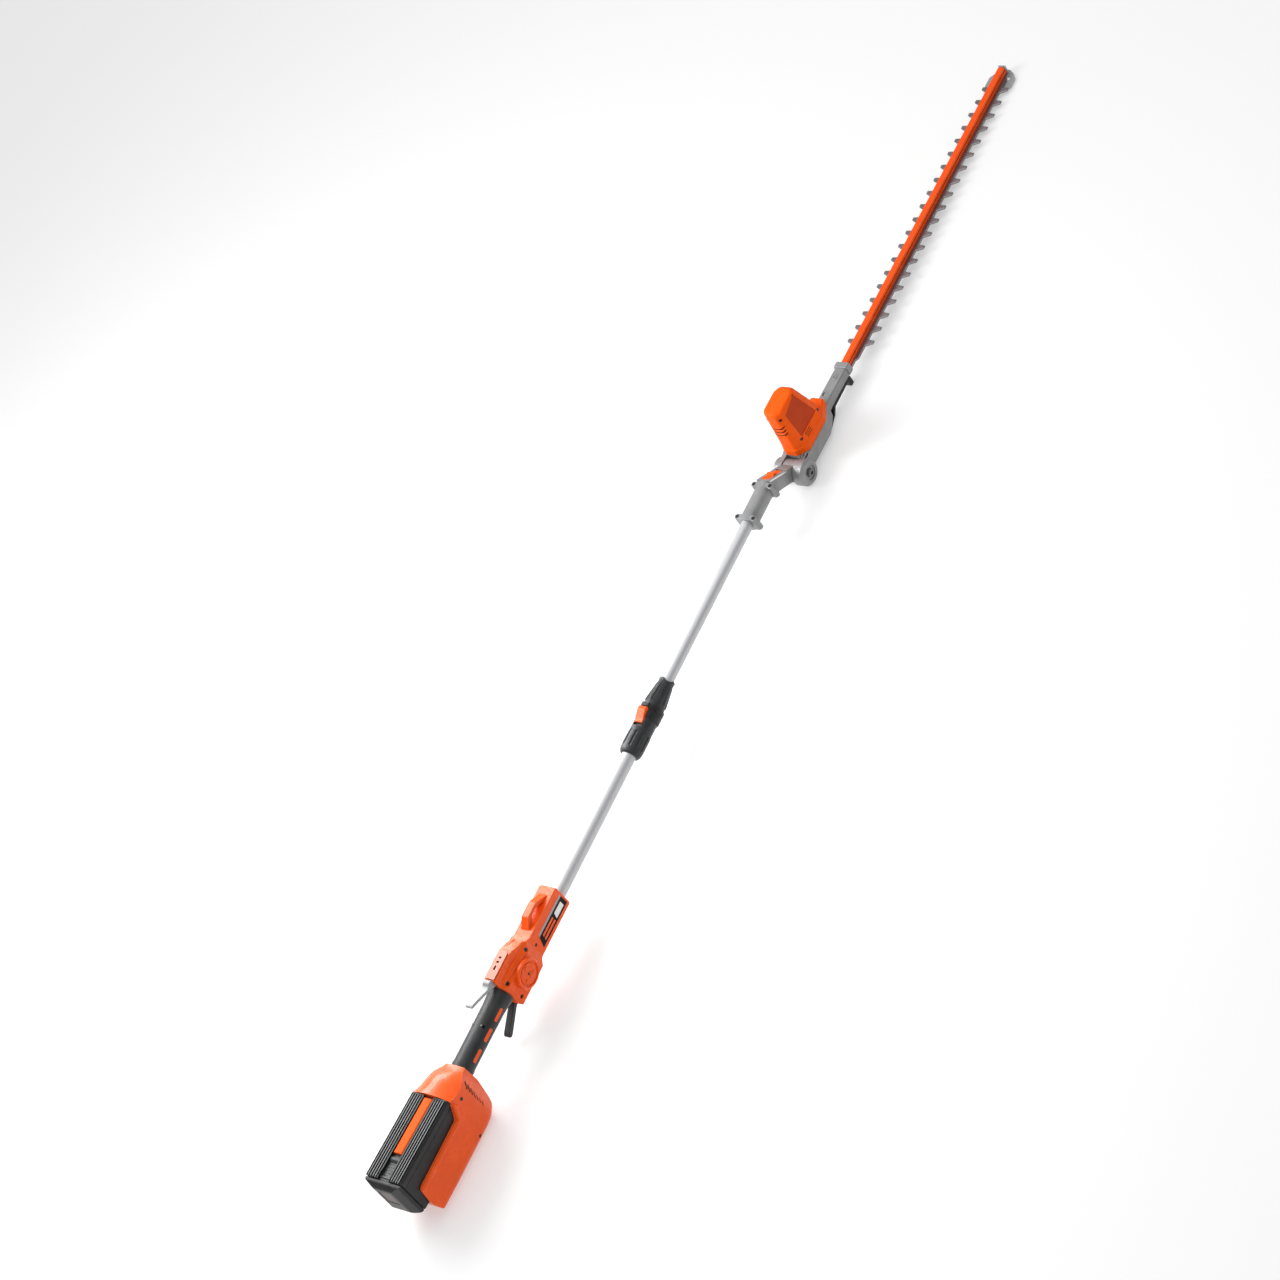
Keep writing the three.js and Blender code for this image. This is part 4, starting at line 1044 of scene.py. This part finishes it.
def blades():
    ground_above, ground_below = [(0, 0.0), (0.9, 0.0), (2, 1.5)], [(0, 1.5), (1.1, 0.0), (2, 0.0)]
    for place, low, levels in (("upper", -39, ground_above), ("lower", -41.3, ground_below)):
        blade = loft([(mirrored(edge_outline(grind)), low + up) for up, grind in levels])
        blade = cut(blade, block((480.7, 507.3), (-8.3, 8.3), (-60, -20)))
        for x in BOLTS.values():
            blade = cut(blade, block((x - 10.6, x + 10.6), (-3.4, 3.4), (-60, -20)))
        finish(blade, f"{place}_toothed_blade", BLADE, f"{place}_cutter", [f"{place}_blade"],
               0, HEAD, angle=20)


def blade_bar():
    section = [(-6.5, -36.7), (6.5, -36.7), (6.5, -32.2), (4.2, -31.8), (4.2, -29.6),
               (6.5, -29.2), (6.5, -26.2), (5.4, -25), (-5.4, -25), (-6.5, -26.2),
               (-6.5, -29.2), (-4.2, -29.6), (-4.2, -31.8), (-6.5, -32.2)]
    bar = prism("x", section, 631.3, 1303)
    for x in BOLTS.values():
        bar = cut(bar, rod("z", 3.3, -42, -30.6, (x, 0, 0), 20))
    finish(bar, "cutter_bar", BAR_ORANGE, "head", ["blade_bar"], 0.35, HEAD)
    for side, sign in SIDES.items():
        # painted shade: a dark strip along the bottom of the bar's groove
        groove_shade = prism("x", rectangle((sign * 4.1, sign * 4.9), (-31.6, -29.8)), 632, 1302)
        finish(groove_shade, f"cutter_bar_groove_shade_{side}", PAINTED_SHADE, "head", bevel=0,
               space=HEAD)
    plan = rounded(mirrored([(1262, 12), (1271, 27.6), (1293, 27.6), (1305, 18), (1313, 7)]), 3, 3)
    guard = prism("z", plan, -44.1, -41.6)
    guard = cut(guard, prism("z", rounded(rectangle((1288, 1296), (-17, 17)), 3), -50, -30))
    lip = prism("y", rounded([(1303.3, -43.6), (1306.3, -43.6), (1306.3, -23), (1303.3, -22)], 0.8),
                -8.5, 5)
    guard = add(guard, lip)
    guard = cut(guard, rod("z", 3.3, -60, -40, (BOLTS["tip"], 0, 0)))
    finish(guard, "nose_guard", LIGHT_GREY, "head", ["tip_guard"], 0.5, HEAD)
    for place, x in BOLTS.items():
        under = -44.4 if place == "tip" else -41.6
        bolt = lathe("z", [(under - 2.4, 0), (under - 2.4, 5.2), (under - 1.6, 6), (under, 6),
                           (under, 2.9), (-31.1, 2.9), (-31.1, 0)], (x, 0, 0), 32)
        finish(bolt, f"bar_bolt_{place}", STEEL, "head", [f"blade_bolt_{place}"],
               0.2, HEAD)


KEPT = {
    "controller_board": BOARD, "battery_board": BOARD, "terminal_block": BLACK,
    "battery_cells": CELL, "main_switch": BLACK, "trigger_pin": STEEL, "lock_off_pin": STEEL,
    "lock_lever_pin": STEEL, "tube_guide": BLACK, "motor_can": STEEL, "motor_rotor": COPPER,
    "pinion": STEEL, "drive_gear": STEEL, "crankshaft": STEEL, "crank_bearing_upper": STEEL,
    "crank_bearing_lower": STEEL,
}


def kept_nodes():
    for name, look in KEPT.items():
        mesh = frame["nodes"][name].data
        mesh.materials.clear()
        mesh.materials.append(look)


# ---- studio ---------------------------------------------------------------------------
def area_light(name, place, target, size, power):
    data = bpy.data.lights.new(name, "AREA")
    data.shape = "RECTANGLE"
    data.size, data.size_y = size
    data.energy = power
    lamp = linked(name, data)
    lamp.location = place
    lamp.rotation_euler = (Vector(target) - Vector(place)).to_track_quat("-Z", "Y").to_euler()


def studio():
    bm = bmesh.new()
    bmesh.ops.create_grid(bm, x_segments=8, y_segments=8, size=15)
    mesh = bpy.data.meshes.new("floor")
    bm.to_mesh(mesh)
    bm.free()
    floor = linked("floor", mesh)
    # a slight glow keeps the ground near white without flattening the shadow under the battery
    white = material("floor_white", (0.52, 0.52, 0.52), 0.9, mottle=0.005, depth=0.0, gloss=0.1)
    glow = white.node_tree.nodes["Principled BSDF"].inputs
    glow["Emission Color"].default_value = (1, 1, 1, 1)
    glow["Emission Strength"].default_value = 0.42
    mesh.materials.append(white)

    world = bpy.data.worlds.new("studio")
    world.use_nodes = True
    sky = world.node_tree.nodes["Background"].inputs
    sky["Color"].default_value = (1, 1, 1, 1)
    sky["Strength"].default_value = 0.4
    bpy.context.scene.world = world
    bpy.context.scene.view_settings.view_transform = "Standard"
    area_light("ceiling", (0.2, 0.6, 3.0), (0.2, 0.6, 0), (6.5, 5.0), 95)
    area_light("sheen_softbox", (-0.5, 1.3, 1.5), (-0.95, 0, 0.05), (1.2, 1.0), 32)
    area_light("dome_softbox", (-0.2, 0.8, 0.54), (-0.96, 0, 0.1), (0.6, 0.5), 12)
    area_light("rear_fill", (-1.9, -1.6, 0.9), (-0.85, 0, 0.05), (0.9, 0.7), 2)


def camera():
    """From above and behind the right side, rolled so that the pole runs up the picture."""
    aim, distance = Vector((-0.18025, 0, 0.1713)), 5.737
    azimuth, elevation, roll = (math.radians(a) for a in (-120.292, 43.401, -40.711))
    data = bpy.data.cameras.new("camera")
    data.lens = 100
    data.sensor_width = 36
    data.clip_end = 100
    eye = linked("camera", data)
    heading = Matrix.Rotation(azimuth + math.pi / 2, 4, "Z")
    pitch = Matrix.Rotation(math.pi / 2 - elevation, 4, "X")
    turn = heading @ pitch @ Matrix.Rotation(roll, 4, "Z")
    eye.matrix_world = Matrix.Translation(aim) @ turn @ Matrix.Translation((0, 0, distance))
    bpy.context.scene.camera = eye


camera()
studio()
rear_housing()
battery()
grip()
control_housing()
trigger_and_lever()
pole()
pole_lock()
knuckle()
gear_case()
motor_housing()
blades()
blade_bar()
kept_nodes()

bpy.context.view_layer.update()
